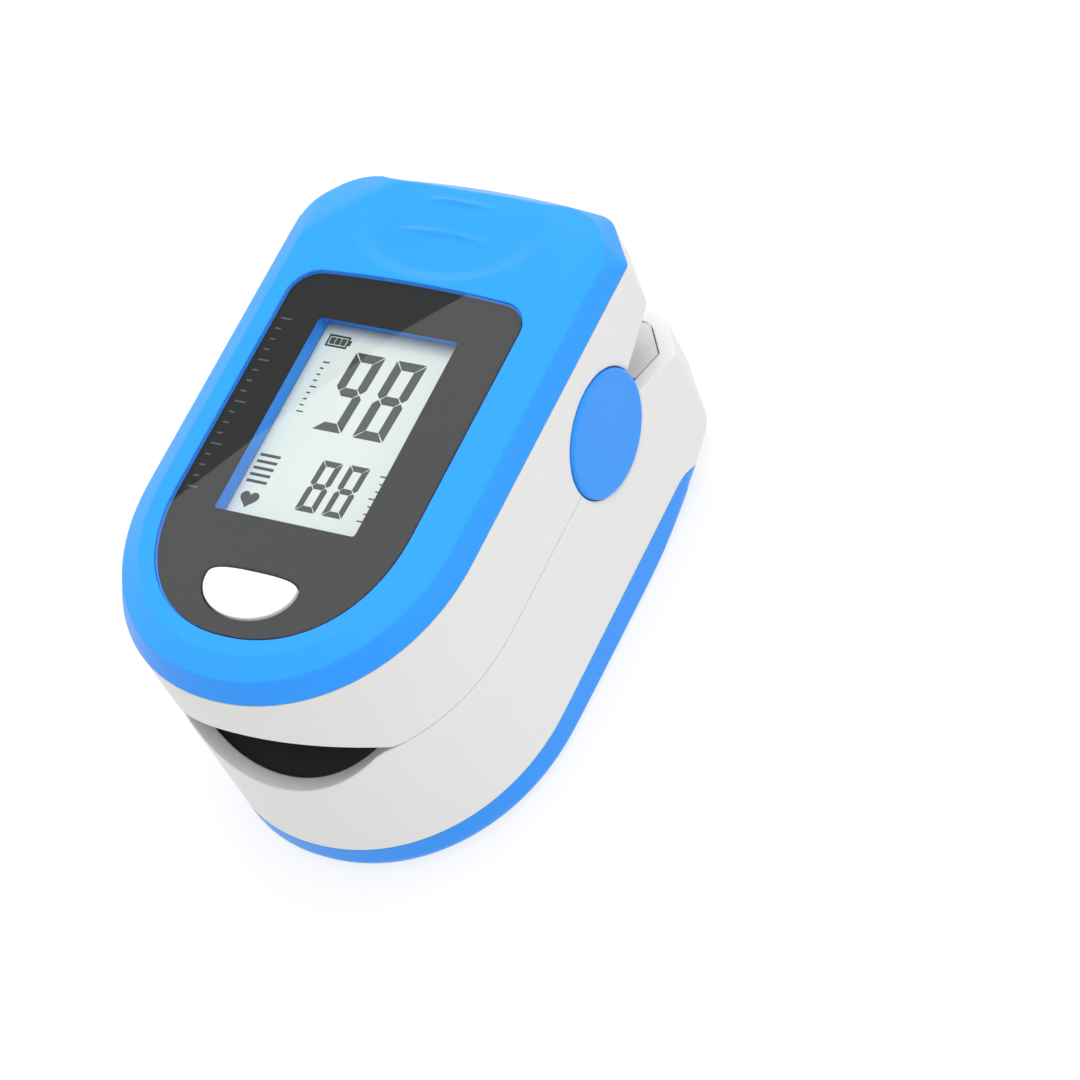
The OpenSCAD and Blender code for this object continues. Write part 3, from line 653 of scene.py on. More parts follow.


# ---------------------------------------------------------------- materials
# the lighter edge colours below are partly wear and partly a painted highlight along edges and
# seams
BLUE = plastic("blue_abs", colour=(0.018, 0.292, 0.93), grain=0.3, spec=0.3,
               edge_wear_and_highlight=0.4, edge_wear_and_highlight_colour=(0.10, 0.48, 1.0))
# its lighter edge colour is mostly a painted highlight along the seam between the jaws
WHITE = plastic("white_abs", colour=(0.765, 0.765, 0.756), rough=0.40, tint=0.03, grain=0.3,
                spec=0.42, edge_wear_and_highlight=0.4, edge_wear_and_highlight_colour=(0.93, 0.93, 0.93))
BUTTON = plastic("button_abs", colour=(0.90, 0.90, 0.90), rough=0.24, tint=0.015, grain=0.12,
                 rough_range=0.06, edge_wear_and_highlight=0.2, edge_wear_and_highlight_colour=(0.95, 0.95, 0.95))
GREY = plastic("grey_abs", colour=(0.66, 0.66, 0.665), rough=0.5, tint=0.035, grain=0.6,
               grain_size=6500.0, edge_wear_and_highlight=0.35, edge_wear_and_highlight_colour=(0.78, 0.78, 0.78))
SILICONE = plastic("silicone", colour=(0.024, 0.024, 0.025), rough=0.56, tint=0.22, grain=0.5,
                   grain_size=5200.0, spec=0.4, sheen=0.12,
                   edge_wear_and_highlight=0.5, edge_wear_and_highlight_colour=(0.06, 0.06, 0.062))
FILM = plastic("printed_film", colour=(0.0125, 0.0125, 0.0128), rough=0.5, tint=0.12,
               grain=0.1, edge_wear_and_highlight=0.0, spec=0.15)
INK = plastic("margin_ink", colour=(0.10, 0.10, 0.102), rough=0.5, tint=0.1, grain=0.1,
              edge_wear_and_highlight=0.0, spec=0.2)
SEGMENT = plastic("segment", colour=(0.052, 0.060, 0.056), rough=0.4, tint=0.14, grain=0.05,
                  edge_wear_and_highlight=0.0, spec=0.2, mottle=420.0)
BOARD = plastic("solder_mask", colour=(0.012, 0.12, 0.045), rough=0.3, tint=0.25, grain=0.4,
                grain_size=2600.0, mottle=500.0, edge_wear_and_highlight=0.4, edge_wear_and_highlight_colour=(0.25, 0.22, 0.1))
CHIP = plastic("moulded_epoxy", colour=(0.018, 0.018, 0.019), rough=0.55, tint=0.2, grain=0.7,
               grain_size=12000.0, edge_wear_and_highlight=0.4, edge_wear_and_highlight_colour=(0.08, 0.08, 0.08))
CERAMIC = plastic("ceramic_chip", colour=(0.34, 0.23, 0.13), rough=0.42, tint=0.2, grain=0.4,
                  mottle=900.0, edge_wear_and_highlight=0.6, edge_wear_and_highlight_colour=(0.75, 0.74, 0.7))
STEEL = plastic("drawn_steel", colour=(0.56, 0.56, 0.565), rough=0.27, tint=0.08, grain=0.5,
                grain_size=2500.0, metallic=1.0, rough_range=0.09, aniso=0.3,
                streak=(0.12, 1.0, 1.0), edge_wear_and_highlight=0.5, edge_wear_and_highlight_colour=(0.85, 0.85, 0.85))
NICKEL = plastic("nickel_plate", colour=(0.62, 0.585, 0.52), rough=0.22, tint=0.1, grain=0.3,
                 grain_size=3200.0, metallic=1.0, streak=(1.0, 0.2, 1.0),
                 edge_wear_and_highlight=0.4, edge_wear_and_highlight_colour=(0.85, 0.83, 0.78))
SWITCH = plastic("plated_shield", colour=(0.6, 0.6, 0.6), rough=0.3, tint=0.1, grain=0.4,
                 metallic=1.0, edge_wear_and_highlight=0.4, edge_wear_and_highlight_colour=(0.85, 0.85, 0.85))
ZEBRA = plastic("conductive_rubber", colour=(0.05, 0.05, 0.055), rough=0.6, tint=0.5,
                grain=0.8, grain_size=4000.0, edge_wear_and_highlight=0.2, streak=(3.0, 0.05, 0.05))
DIFFUSER = plastic("milky_diffuser", colour=(0.82, 0.84, 0.82), rough=0.35, tint=0.03,
                   grain=0.2, edge_wear_and_highlight=0.2, subsurface=0.3)
LCD_FRAME = plastic("moulded_frame", colour=(0.78, 0.78, 0.76), rough=0.48, tint=0.04,
                    grain=0.5, edge_wear_and_highlight=0.3)
AMBER = plastic("polyimide", colour=(0.42, 0.16, 0.025), rough=0.24, tint=0.2, grain=0.3,
                grain_size=3000.0, coat=0.3, streak=(5.0, 0.3, 0.3),
                edge_wear_and_highlight=0.4, edge_wear_and_highlight_colour=(0.7, 0.4, 0.12))
LED = plastic("led_package", colour=(0.84, 0.83, 0.78), rough=0.35, grain=0.3, edge_wear_and_highlight=0.2,
              mottle=900.0)
WRAP = plastic("cell_wrap", colour=(0.055, 0.06, 0.07), rough=0.3, tint=0.2, grain=0.15,
               grain_size=2000.0, coat=0.3, mottle=260.0,
               edge_wear_and_highlight=0.5, edge_wear_and_highlight_colour=(0.3, 0.3, 0.32))
LENS = clear("clear_acrylic", tint=(0.985, 0.99, 0.995), rough=0.008, vary=0.012, ripple=0.0)
RESIN = clear("clear_resin", tint=(0.60, 0.47, 0.45), rough=0.06, haze=0.35)
LCD = plastic("lcd_glass", colour=(0.60, 0.655, 0.60), rough=0.22, tint=0.02, grain=0.05,
              spec=0.35, mottle=90.0, edge_wear_and_highlight=0.3, edge_wear_and_highlight_colour=(0.6, 0.75, 0.66))

# ---------------------------------------------------------------- the two housings
WALL = 1.48 + 0.1 * (1 - smooth_step(OUT_Y, -16.5, -13.0))
RIM_GAP = 0.08                               # how far each rim runs past its edge line


def rim_rings(edge, side):
    """rounded rim from outside to inside; side is +1 where the wall is above the edge"""
    r = 0.16
    turns = [QUARTER * i / 5 for i in range(6)]
    steps = [(r * (1 - math.cos(a)), 1 - math.sin(a)) for a in turns]
    steps += [(WALL - r * (1 - math.sin(a)), 1 - math.cos(a)) for a in turns]
    out = []
    for inset, rise in steps:
        xy = plan(inset)
        out.append(at(xy, edge(xy) - side * RIM_GAP + side * r * rise))
    return out


def wall_rings(top_z, inset, parts):
    """rings strictly between the upper jaw's edge and a height"""
    xy = plan(inset)
    start = upper_edge(xy) + 0.25
    return [at(xy, start * (1 - k) + top_z * k) for k in np.linspace(0, 1, parts + 1)[1:-1]]


def cut_cap_openings(ob):
    """round hinge cap openings in both side walls, with a small chamfer"""
    profile = [(15.2, 0.0), (15.2, 6.25), (HALF_W - 0.16, 6.25), (HALF_W + 0.02, 6.45),
               (HALF_W + 1.0, 6.45), (HALF_W + 1.0, 0.0)]
    verts, faces = lathe(profile, 128, (0, HINGE_Y, HINGE_Z))
    for side in (1, -1):
        boolean(ob, make("cutter", verts * [side, 1, 1], faces))


def add_cad_inside(ob, node_name, core):
    """keeps the CAD inside, trimmed to fit in the new wall"""
    inner = from_cad(node_name, "inner")
    boolean(inner, core, "INTERSECT")
    absorb(ob, inner)


def build_upper_housing():
    top = COVER_Z - 0.012
    rings = rim_rings(upper_edge, 1)
    rings += wall_rings(COVER_Z - 0.10, WALL, 4)
    for inset, z in ((WALL, top - 0.1), (WALL - 0.1, top), (0.09, top),
                     (0.026, top - 0.026), (0, top - 0.09)):
        rings.append(at(plan(inset), z))
    rings += wall_rings(top - 0.09, 0, 6)[::-1]
    verts, faces = swept(rings)
    upper = make("upper_shell", shorten(verts), faces)
    cut_cap_openings(upper)
    outline = plan(1.3 + 0.74 * (OUT_Y < CORE_STEP_Y))
    core = make("core", *capped([whole(at(outline, z)) for z in (10.0, 29.5)]))
    add_cad_inside(upper, "upper_housing", core)
    done(upper, WHITE, "upper", "upper_housing")


def lower_core():
    """solid that fills the lower jaw's outside moved inwards"""
    inset = 1.2 + 0.84 * (OUT_Y < CORE_STEP_Y)
    rings = [at(plan(inset), 30.0), at(plan(inset), np.maximum(ROUND_H, inset + 0.2))]
    rings += [round_ring(np.full(N, QUARTER * i / 10), inset) for i in range(1, 11)]
    last = rings[-1]
    spine = np.c_[np.zeros(N), np.clip(last[:, 1], -16, 22), last[:, 2]]
    rings += [last * 0.5 + spine * 0.5, spine]
    verts = np.concatenate([whole(r) for r in rings])
    return make("core", verts, grid_faces(len(rings), M) + [list(range(M))])


def build_lower_housing():
    """open below the battery door's edge, with its own floor behind it"""
    door_end_y = 20.3999
    open_z = np.maximum(np.where(OUT_Y < door_end_y, door_edge(0.04), 0.0), 0.0)
    end_angle = round_angle(open_z)
    wall_z = np.maximum(ROUND_H, open_z)
    arc_steps, fan_steps = 14, 5
    outer, inner = plan(0), plan(WALL)

    def arc_ring(share, inset=0.0):
        d, z = round_at(end_angle * share, inset)
        return at(plan(d), np.where(end_angle == 0, wall_z, z))

    def wall_ring(xy, k):
        return at(xy, (lower_edge(xy) - 0.25) * (1 - k) + wall_z * k)

    tail = OUT_Y >= SPLIT_Y - 1e-6

    def fan(ring, centre_z, share):
        """draws the rear part of a ring in towards the floor's centre"""
        out = ring.copy()
        out[tail] = ring[tail] * (1 - share) + np.array([0.0, SPLIT_Y, centre_z]) * share
        return out

    shares = np.linspace(0, 1, 6)
    rings = rim_rings(lower_edge, -1)[::-1]
    rings += [wall_ring(outer, k) for k in shares[1:]]
    rings += [arc_ring(i / arc_steps) for i in range(1, arc_steps + 1)]
    last = rings[-1].copy()
    last[tail, 2] = 0.0
    rings += [fan(last, 0.0, i / fan_steps) for i in range(1, fan_steps + 1)]
    last = arc_ring(1, WALL)
    rings += [fan(last, 1.48, i / fan_steps) for i in range(fan_steps, -1, -1)]
    rings += [arc_ring(i / arc_steps, WALL) for i in range(arc_steps - 1, 0, -1)]
    rings += [wall_ring(inner, 1 - k) for k in shares[:-1]]
    lower = make("lower_shell", *swept(rings))
    cut_cap_openings(lower)

    # lanyard hole in the rear wall, with a softened edge
    profile = [(REAR_Y - 4, 0), (REAR_Y - 4, 1.3), (REAR_Y - 0.22, 1.3), (REAR_Y + 0.02, 1.5),
               (REAR_Y + 1, 1.5), (REAR_Y + 1, 0)]
    boolean(lower, make("cutter", *lathe(profile, 48, (0, 0, 10.1), axis="y")))
    add_cad_inside(lower, "lower_housing", lower_core())
    done(lower, WHITE, "lower", "lower_housing")


# ---------------------------------------------------------------- battery door
def door_rings():
    """right-half rings: outside from rim to spine, inside from rim to spine"""
    chamfer, thick, arc_steps = 0.06, 1.1, 14
    rim_z = np.maximum(door_edge(0), 0.02)

    def to_bottom(start, inset, first):
        """rounded edge from a start angle to the bottom, then flat to the spine"""
        rings = [round_ring(start + (QUARTER - start) * i / arc_steps, inset)
                 for i in range(first, arc_steps + 1)]
        last = rings[-1]
        y = last[:, 1]
        spine_y = np.where(NOSE, NOSE_Y + 0.45 * (y - NOSE_Y), y)
        spine = np.c_[np.zeros(N), spine_y, np.full(N, inset)]
        return rings + [last * (1 - k) + spine * k for k in np.linspace(0, 1, 9)[1:]]

    start = round_angle(rim_z)
    upright = start == 0
    d = round_at(start)[0]
    outer = [at(plan(chamfer + d), rim_z),
             at(plan(chamfer * 0.3 + d), rim_z - 0.3 * chamfer * upright),
             at(plan(d), rim_z - chamfer * upright),
             at(plan(d), np.where(upright, np.minimum(rim_z - chamfer, ROUND_H), rim_z))]
    outer += to_bottom(start, 0.0, first=1)
    start = round_angle(rim_z, thick)
    inner = [at(plan(round_at(start, thick)[0]), rim_z)] + to_bottom(start, thick, first=0)
    return outer, inner


def door_grooves():
    """five narrowing grooves across the underside, 2 mm apart"""
    # columns: how far the outline is drawn in, z
    section = [(-0.16, -0.3), (-0.08, 0.0), (0.0, 0.09), (0.05, 0.26), (0.14, 0.34)]
    parts = []
    for i in range(5):
        half, y = 5 - 0.5 * i, 3 + 2 * i
        centre = np.array([0, y + 0.5])
        away = rounded_box(-half, half, y, y + 1, r=0.5, steps=7) - centre
        parts.append(capped([
            flat_ring(np.sign(away) * np.maximum(np.abs(away) - inset, 0.0) + centre, z)
            for inset, z in section]))
    return make("cutter", *join(parts))


def build_battery_door():
    stations = NOSE | ((KIND == "side") & (OUT_Y <= 20.29))
    outer, inner = (np.stack(rings)[:, stations] for rings in door_rings())
    # the loop of a station: outside right to left, then inside left to right
    loop = np.concatenate([outer, outer[::-1][1:] * FLIP_X, inner * FLIP_X, inner[::-1][1:]])
    points, count = loop.shape[:2]
    end_cap = [(count - 1) * points + i for i in range(points)]
    verts = loop.transpose(1, 0, 2).reshape(-1, 3)
    door = make("door_shell", verts, grid_faces(count, points) + [end_cap])
    boolean(door, door_grooves())
    rails = [prism(box_loop(x, -4, x + 1.25, 14.5), 2.75, 3.45) for x in (15.5, -16.75)]
    absorb(door, make("rails", *join(rails)))
    done(door, BLUE, "lower" if False else "door", "battery_door")


# ---------------------------------------------------------------- top cover
# height of the cover along its middle: y, z
SPINE = [(-40, TOP_Z), (21.0, TOP_Z), (24.0, TOP_Z - 0.10), (26.0, TOP_Z - 0.30),
         (28.0, TOP_Z - 0.60), (29.1, TOP_Z - 0.80)]
CROWN_W = 3.1                                # width of the falling border
SOFT = 1.8                                   # extra corner fillet on top
MAX_Z = 31.999
SEAT_Z = FILM_Z0 - 0.01                      # shelf for the film
COVER_FLOOR_Z = 29.7
# slope of the band that rises from the joint: x, rise per mm inwards
REAR_BAND = [(0, 1.22), (10, 1.35), (14, 1.7)]
BAND_SLOPE = even_out(np.where(KIND == "rear", look_up(OUT_X, REAR_BAND),
                               np.where(CORNER, 1.75, 2.35)))


def lean(distance, slope, soft):
    """starts flat and becomes a straight slope"""
    t = np.maximum(distance, 0)
    return slope * t * t / (t + soft)


def crown(x, y, d):
    """drop of the top towards the nose, the sides, the corner facets and the rear"""
    front = lean(CROWN_W - d, 0.54, 0.12) * np.ones(N)
    side = lean(CROWN_W - (HALF_W - x), 0.54, 0.12)
    facet = lean(5.6 - (FACET_C - FACET_NX * x - FACET_NY * y), 0.26, 0.5)
    rear = lean(2.2 - (REAR_Y - REAR_BOW * x * x - y), 0.35, 0.3)
    return np.where(NOSE, front, (side ** 3 + facet ** 3 + rear ** 3) ** (1 / 3))


def hollow(x, y):
    """shallow oval dip behind the display"""
    away = np.sqrt((x / 10.4) ** 2 + ((y - 22.0) / 6.6) ** 2)
    depth = 0.50 * np.clip((27.4 - y) / 10.0, 0, 1) ** 0.8
    return depth * smooth_step(1 - away, 0.0, 0.24)


def ridge(x, y, y_middle, half_length):
    """slightly bowed rib across the dip"""
    taper = np.clip(1 - (np.abs(x) / half_length) ** 2.2, 0, 1)
    return 0.34 * taper * np.exp(-((y - (y_middle - 0.012 * x * x)) / 0.30) ** 2)


def top_height(xy, d):
    x, y = xy[:, 0], xy[:, 1]
    spine = sum(look_up(y + shift, SPINE) for shift in np.linspace(-0.9, 0.9, 9)) / 9
    top = spine - crown(np.abs(x), y, d) - hollow(x, y)
    top = top + ridge(x, y, 21.2, 5.4) + ridge(x, y, 25.1, 3.9)
    z = smooth_min(COVER_Z + 0.12 + BAND_SLOPE * d, top, 0.14)
    return np.maximum(z, COVER_Z + 0.105 + 0.12 * d)


def bean(inset, points=72):
    """outline of the button"""
    t = np.linspace(0, 2 * math.pi, points, endpoint=False)
    c, s = np.cos(t), np.sin(t)
    front = np.stack([(4.87 - inset) * c, -18.8 + (3.6 - inset) * s], 1)
    back = np.stack([(4.87 - inset) * np.sign(c) * np.abs(c) ** (2 / 3),
                     -18.8 + (1.35 - inset) * np.abs(s) ** (2 / 3)], 1)
    return np.where((s < 0)[:, None], front, back) + np.array([BUTTON_X, 0.0])


def bezel_loop(inset):
    """whole lens outline without points closer than 0.12"""
    loop = whole(bezel(inset))
    keep = [0]
    for i in range(1, len(loop)):
        if np.linalg.norm(loop[i] - loop[keep[-1]]) > 0.12:
            keep.append(i)
    if np.linalg.norm(loop[keep[-1]] - loop[0]) < 0.12:
        keep.pop()
    return loop[keep]


def build_top_cover():
    bottom = COVER_Z + 0.012
    rings = [at(plan(inset), z) for inset, z in (
        (1.38, bottom), (0.09, bottom), (0.026, bottom + 0.03), (0.0, bottom + 0.10))]
    for d in [*np.arange(0.07, 1.4, 0.07), *np.arange(1.45, 2.9, 0.18),
              2.9, 2.95, 3.0, 3.05, CROWN_W]:
        xy = plan(d, SOFT * smooth_step(d, 0.0, 1.3))
        rings.append(at(xy, np.minimum(top_height(xy, d), MAX_Z)))
    border_xy, lip_xy = plan(CROWN_W, SOFT), bezel(-0.18)
    for k in np.linspace(0, 1, 58)[1:]:
        xy = border_xy * (1 - k) + lip_xy * k
        rings.append(at(xy, top_height(xy, CROWN_W)))
    lip_z = top_height(lip_xy, CROWN_W)
    for inset, drop in ((-0.14, 0.008), (-0.10, 0.03), (-0.07, 0.07), (-0.06, 0.12)):
        rings.append(at(bezel(inset), lip_z - drop))
    for inset, z in ((-0.06, SEAT_Z + 0.15), (-0.06, SEAT_Z), (0.9, SEAT_Z),
                     (1.0, COVER_FLOOR_Z)):
        rings.append(at(bezel(inset), z))
    for d, ceiling in ((3.0, 29.7), (2.4, 29.62), (1.9, 29.4), (1.5, 29.06)):
        xy = plan(d, SOFT)
        z = np.minimum(ceiling, top_height(xy, d) - 0.85)
        rings.append(at(xy, np.clip(z, bottom + 0.004, COVER_FLOOR_Z)))
    verts, faces = swept(rings)
    cover = make("cover_shell", shorten(verts), faces)

    # floor under the lens, with the window and button openings
    xa, xb, ya, yb = WINDOW
    opening = rounded_box(xa - 0.04, xb + 0.6, ya - 0.35, yb + 0.6)
    floor = plate(bezel_loop(0.6), [opening, bean(-0.12)], 29.72, SEAT_Z - 0.01)
    absorb(cover, make("floor_plate", *floor))
    done(cover, BLUE, "upper", "top_cover", angle=40)


# ---------------------------------------------------------------- lens and film
def build_lens():
    """clear plate with a hole round the button"""
    centre = np.array([BUTTON_X, -19.0])
    away = whole(bezel(0)) - centre
    turn = np.arctan2(away[:, 1], away[:, 0])
    away = bean(-0.12, 720) - centre
    hole_turn, hole_r = np.arctan2(away[:, 1], away[:, 0]), np.linalg.norm(away, axis=1)
    order = np.argsort(hole_turn)
    hole_turn = hole_turn[order]
    radius = np.interp(
        turn, np.concatenate([hole_turn - 2 * math.pi, hole_turn, hole_turn + 2 * math.pi]),
        np.tile(hole_r[order], 3))

    def edge(inset, z):
        return flat_ring(whole(bezel(inset)), z)

    def hole(growth, z):
        direction = np.stack([np.cos(turn), np.sin(turn)], 1)
        return flat_ring(centre + direction * (radius + growth)[:, None], z)

    rows = [edge(inset, z) for inset, z in (
        (0.05, LENS_Z0), (0.02, LENS_Z0 + 0.04), (0.02, TOP_Z - 0.14), (0.035, TOP_Z - 0.07),
        (0.075, TOP_Z - 0.02), (0.12, TOP_Z), (0.16, TOP_Z))]
    rows += [edge(0.16, TOP_Z) * (1 - k) + hole(0.16, TOP_Z) * k for k in (0.25, 0.5, 0.75)]
    rows += [hole(growth, z) for growth, z in (
        (0.16, TOP_Z), (0.11, TOP_Z), (0.06, TOP_Z - 0.03), (0.01, TOP_Z - 0.12),
        (0.0, LENS_Z0 + 0.02), (0.0, LENS_Z0))]
    rows.append(rows[-1] * 0.5 + rows[0] * 0.5)
    lens = make("lens_plate", np.concatenate(rows), grid_faces(len(rows), M, True))
    done(lens, LENS, "upper", "display_lens")


def graduation(x, direction, y_first, span, count, major_every, major, minor, half):
    """column of tick marks that start at x and point in a direction along x"""
    loops = []
    for i in range(count):
        y = y_first + span * i / (count - 1)
        tip = x + direction * (major if i % major_every == 0 else minor)
        loops.append(box_loop(min(x, tip), y - half, max(x, tip), y + half))
    return loops


def build_film():
    holes = [rounded_box(*WINDOW, r=0.3), bean(-0.05)]
    film = make("printed_film", *plate(bezel_loop(0.1), holes, FILM_Z0, FILM_Z1))
    done(film, FILM, "upper", "lens_film")
    loops = graduation(x=-11.9, direction=1, y_first=-10.2, span=19.2, count=17,
                       major_every=4, major=1.15, minor=0.6, half=0.09)
    parts = [prism(loop, FILM_Z1 - 0.002, FILM_Z1 + 0.006) for loop in loops]
    done(make("margin_ticks", *join(parts)), INK, "upper")


# ---------------------------------------------------------------- display segments
def seven_bar(x, y, w, h, t, bars, gap):
    """leaning seven-bar figure: lower left corner, width, height, bar thickness, lit bars"""
    m, g = h / 2, gap
    shapes = {
        "a": [(g, h), (w - g, h), (w - t - g * 0.2, h - t), (t + g * 0.2, h - t)],
        "g": [(t * 0.5 + g, m), (t + g * 0.4, m + t / 2), (w - t - g * 0.4, m + t / 2),
              (w - t * 0.5 - g, m), (w - t - g * 0.4, m - t / 2), (t + g * 0.4, m - t / 2)],
        "d": [(g, 0), (t + g * 0.2, t), (w - t - g * 0.2, t), (w - g, 0)],
        "f": [(0, h - g), (t, h - t - g * 0.6), (t, m + t / 2 + g * 0.5),
              (t * 0.45, m + g * 0.6), (0, m + t * 0.5 + g * 0.3)],
        "b": [(w, h - g), (w, m + t * 0.5 + g * 0.3), (w - t * 0.45, m + g * 0.6),
              (w - t, m + t / 2 + g * 0.5), (w - t, h - t - g * 0.6)],
        "e": [(0, g), (0, m - t * 0.5 - g * 0.3), (t * 0.45, m - g * 0.6),
              (t, m - t / 2 - g * 0.5), (t, t + g * 0.6)],
        "c": [(w, g), (w - t, t + g * 0.6), (w - t, m - t / 2 - g * 0.5),
              (w - t * 0.45, m - g * 0.6), (w, m - t * 0.5 - g * 0.3)],
    }
    return [[(x + px + 0.05 * py, y + py) for px, py in shapes[bar]] for bar in bars]


# x, y, width, height, bar thickness, lit bars, gap
FIGURES = [(-4.15, -0.8, 3.2, 8.75, 0.94, "abcdfg", 0.10),
           (0.35, -0.9, 3.25, 8.8, 0.94, "abcdefg", 0.10),
           (-1.45, -9.4, 2.15, 5.6, 0.60, "abcdefg", 0.08),
           (1.45, -9.4, 2.15, 5.65, 0.60, "abcdefg", 0.08)]


def heart():
    """heart with its tip towards the front"""
    size = 0.062
    return [(-6.5 + size * 16 * math.sin(t) ** 3,
             -9.25 + size * (13 * math.cos(t) - 5 * math.cos(2 * t)
                             - 2 * math.cos(3 * t) - math.cos(4 * t)))
            for t in np.linspace(0, 2 * math.pi, 40, endpoint=False)][::-1]


def battery_symbol():
    """frame, nub and three cells"""
    xa, xb, ya, yb, t = -7.4, -5.05, 8.05, 9.4, 0.2
    low, high = ya + t + 0.01, yb - t - 0.01
    boxes = [(xa, ya, xb, ya + t), (xa, yb - t, xb, yb),
             (xa, low, xa + t, high), (xb - t, low, xb, high),
             (xb + 0.02, ya + 0.38, xb + 0.26, yb - 0.38)]
    boxes += [(xa + start, ya + 0.3, xa + end, yb - 0.3)
              for start, end in ((0.3, 0.84), (0.92, 1.44), (1.52, 2.05))]
    return [box_loop(*box) for box in boxes]


def build_segments():
    loops = [bar for figure in FIGURES for bar in seven_bar(*figure)]
    for i in range(5):
        y = -4.5 - 0.72 * i
        loops.append(box_loop(-7.75, y - 0.15, -5.55, y + 0.15))
    loops.append(heart())
    loops += battery_symbol()
    loops += graduation(x=-6.6, direction=1, y_first=0.7, span=5.6, count=9,
                        major_every=4, major=0.7, minor=0.4, half=0.07)
    loops += graduation(x=5.9, direction=-1, y_first=-9.2, span=4.9, count=7,
                        major_every=3, major=0.7, minor=0.4, half=0.07)
    parts = [prism(loop, LCD_Z - 0.005, LCD_Z + 0.02) for loop in loops]
    segments = make("lcd_segments", *join(parts))
    done(segments, SEGMENT, "upper", weighted=False)


# ---------------------------------------------------------------- button
def build_button():
    low, high = (corner[2] for corner in ends("power_button"))
    shoulder = high - 0.38
    # inset, z
    section = [(0.9, low + 0.1), (0.35, low + 0.1), (0.3, 29.4), (0.03, 29.6), (0.03, shoulder)]
    section += [(0.03 + 0.30 * (1 - math.cos(a)), shoulder + 0.30 * math.sin(a))
                for a in np.radians(np.linspace(12, 90, 8))]
    rows = [flat_ring(bean(inset, 96), z) for inset, z in section]
    # slightly domed top
    centre, rim = np.array([BUTTON_X, -19.25]), bean(0.33, 96)
    for k in (0.12, 0.25, 0.4, 0.55, 0.7, 0.85, 0.96):
        z = high - 0.08 + 0.08 * (1 - (1 - k) ** 2)
        rows.append(flat_ring(centre + (rim - centre) * (1 - k), z))
    button = make("button_cap", *capped(rows))
    profile = [(low, 0), (low, 1.15), (low + 0.4, 1.2), (low + 0.4, 0)]
    absorb(button, make("stem", *lathe(profile, 32, (-0.12, -20.15, 0), axis="z")))
    done(button, BUTTON, "button", "power_button", angle=50)


# ---------------------------------------------------------------- hinge caps
def build_hinge_caps():
    # x along the hinge, radius
    profile = [(14.35, 1.02), (14.35, 2.3), (14.45, 2.4), (14.65, 2.4), (14.65, 6.95),
               (14.75, 7.05), (15.75, 7.05), (15.88, 6.92), (15.9, 6.13)]
    profile += [(CAP_X - 0.28 + 0.28 * math.sin(a), 6.13 - 0.28 * (1 - math.cos(a)))
                for a in np.radians(np.linspace(0, 90, 7))]
    profile += [(CAP_X - 0.01, 5.4), (CAP_X - 0.035, 4.2), (CAP_X - 0.045, 2.2),
                (CAP_X - 0.05, 0.6), (CAP_X - 0.05, 0.0), (15.15, 0.0), (15.15, 1.02)]
    verts, faces = lathe(profile, 128, (0, HINGE_Y, HINGE_Z), closed=True)
    for side, name in ((1, "right"), (-1, "left")):
        cap = make("cap_" + name, verts * [side, 1, 1], faces)
        done(cap, BLUE, "lower", "hinge_cap_" + name, angle=30)


# ---------------------------------------------------------------- finger pads
def build_pad(body, arc_z, side, r0, r1, edge_z):
    """Curved pad between two radii about a line along Y at height arc_z; side is +1 when it
    arches above that line. It has a sensor hole, and its rear corners are cut away."""
    rear_y, cut_y, cut_x = 5.1, 2.8, 11.7
    hole_y0, hole_y1, hole_x = -8.6, -3.4, 3.1
    lead_rows = 14
    middle_r = (r0 + r1) / 2
    end_turn = math.acos(abs(edge_z - arc_z) / middle_r)
    cut_turn, hole_turn = math.asin(cut_x / middle_r), math.asin(hole_x / middle_r)
    turns = np.concatenate([np.linspace(-end_turn, -cut_turn, 5),
                            np.linspace(-cut_turn, -hole_turn, 16)[1:],
                            np.linspace(-hole_turn, hole_turn, 9)[1:],
                            np.linspace(hole_turn, cut_turn, 16)[1:],
                            np.linspace(cut_turn, end_turn, 5)[1:]])
    levels = sorted(set(np.round(np.concatenate([
        np.linspace(-14, hole_y0, 9), np.linspace(hole_y0, hole_y1, 7),
        np.linspace(hole_y1, cut_y, 8), np.linspace(cut_y, rear_y, 4)]), 4)))
    rows, cols = lead_rows + len(levels), len(turns)

    def skin(radius):
        grid = np.zeros((rows, cols, 3))
        half_w, depth = HALF_W - 1.74, NOSE_LENGTH - 1.74
        for j, turn in enumerate(turns):
            x = radius * math.sin(turn)
            share = np.maximum(1 - (np.abs(x) / half_w) ** NOSE_POWER, 0) ** (1 / NOSE_POWER)
            front = NOSE_Y - depth * share
            lead = front + (levels[0] - front) * (np.arange(lead_rows) / lead_rows)
            grid[:, j, 0] = x
            grid[:, j, 1] = np.concatenate([lead, levels])
            grid[:, j, 2] = arc_z + radius * math.cos(turn) * side
        return grid.reshape(-1, 3)

    def is_solid(i, j):
        if i < lead_rows:
            return True
        x = abs(middle_r * math.sin(0.5 * (turns[j] + turns[j + 1])))
        y = 0.5 * (levels[i - lead_rows] + levels[i - lead_rows + 1])
        in_hole = x < hole_x and hole_y0 < y < hole_y1
        return not in_hole and not (x > cut_x and y > cut_y)

    cells = {(i, j) for i in range(rows - 1) for j in range(cols - 1) if is_solid(i, j)}
    quads = [[i * cols + j, i * cols + j + 1, (i + 1) * cols + j + 1, (i + 1) * cols + j]
             for i, j in cells]
    offset = rows * cols
    faces = []
    for quad in quads:
        faces += [quad, [k + offset for k in quad[::-1]]]
    faces += [[b, a, a + offset, b + offset] for a, b in border(quads)]
    pad = make(body + "_pad_soft", np.concatenate([skin(r0), skin(r1)]), faces)
    done(pad, SILICONE, body, body + "_finger_pad", bevel=0.2)


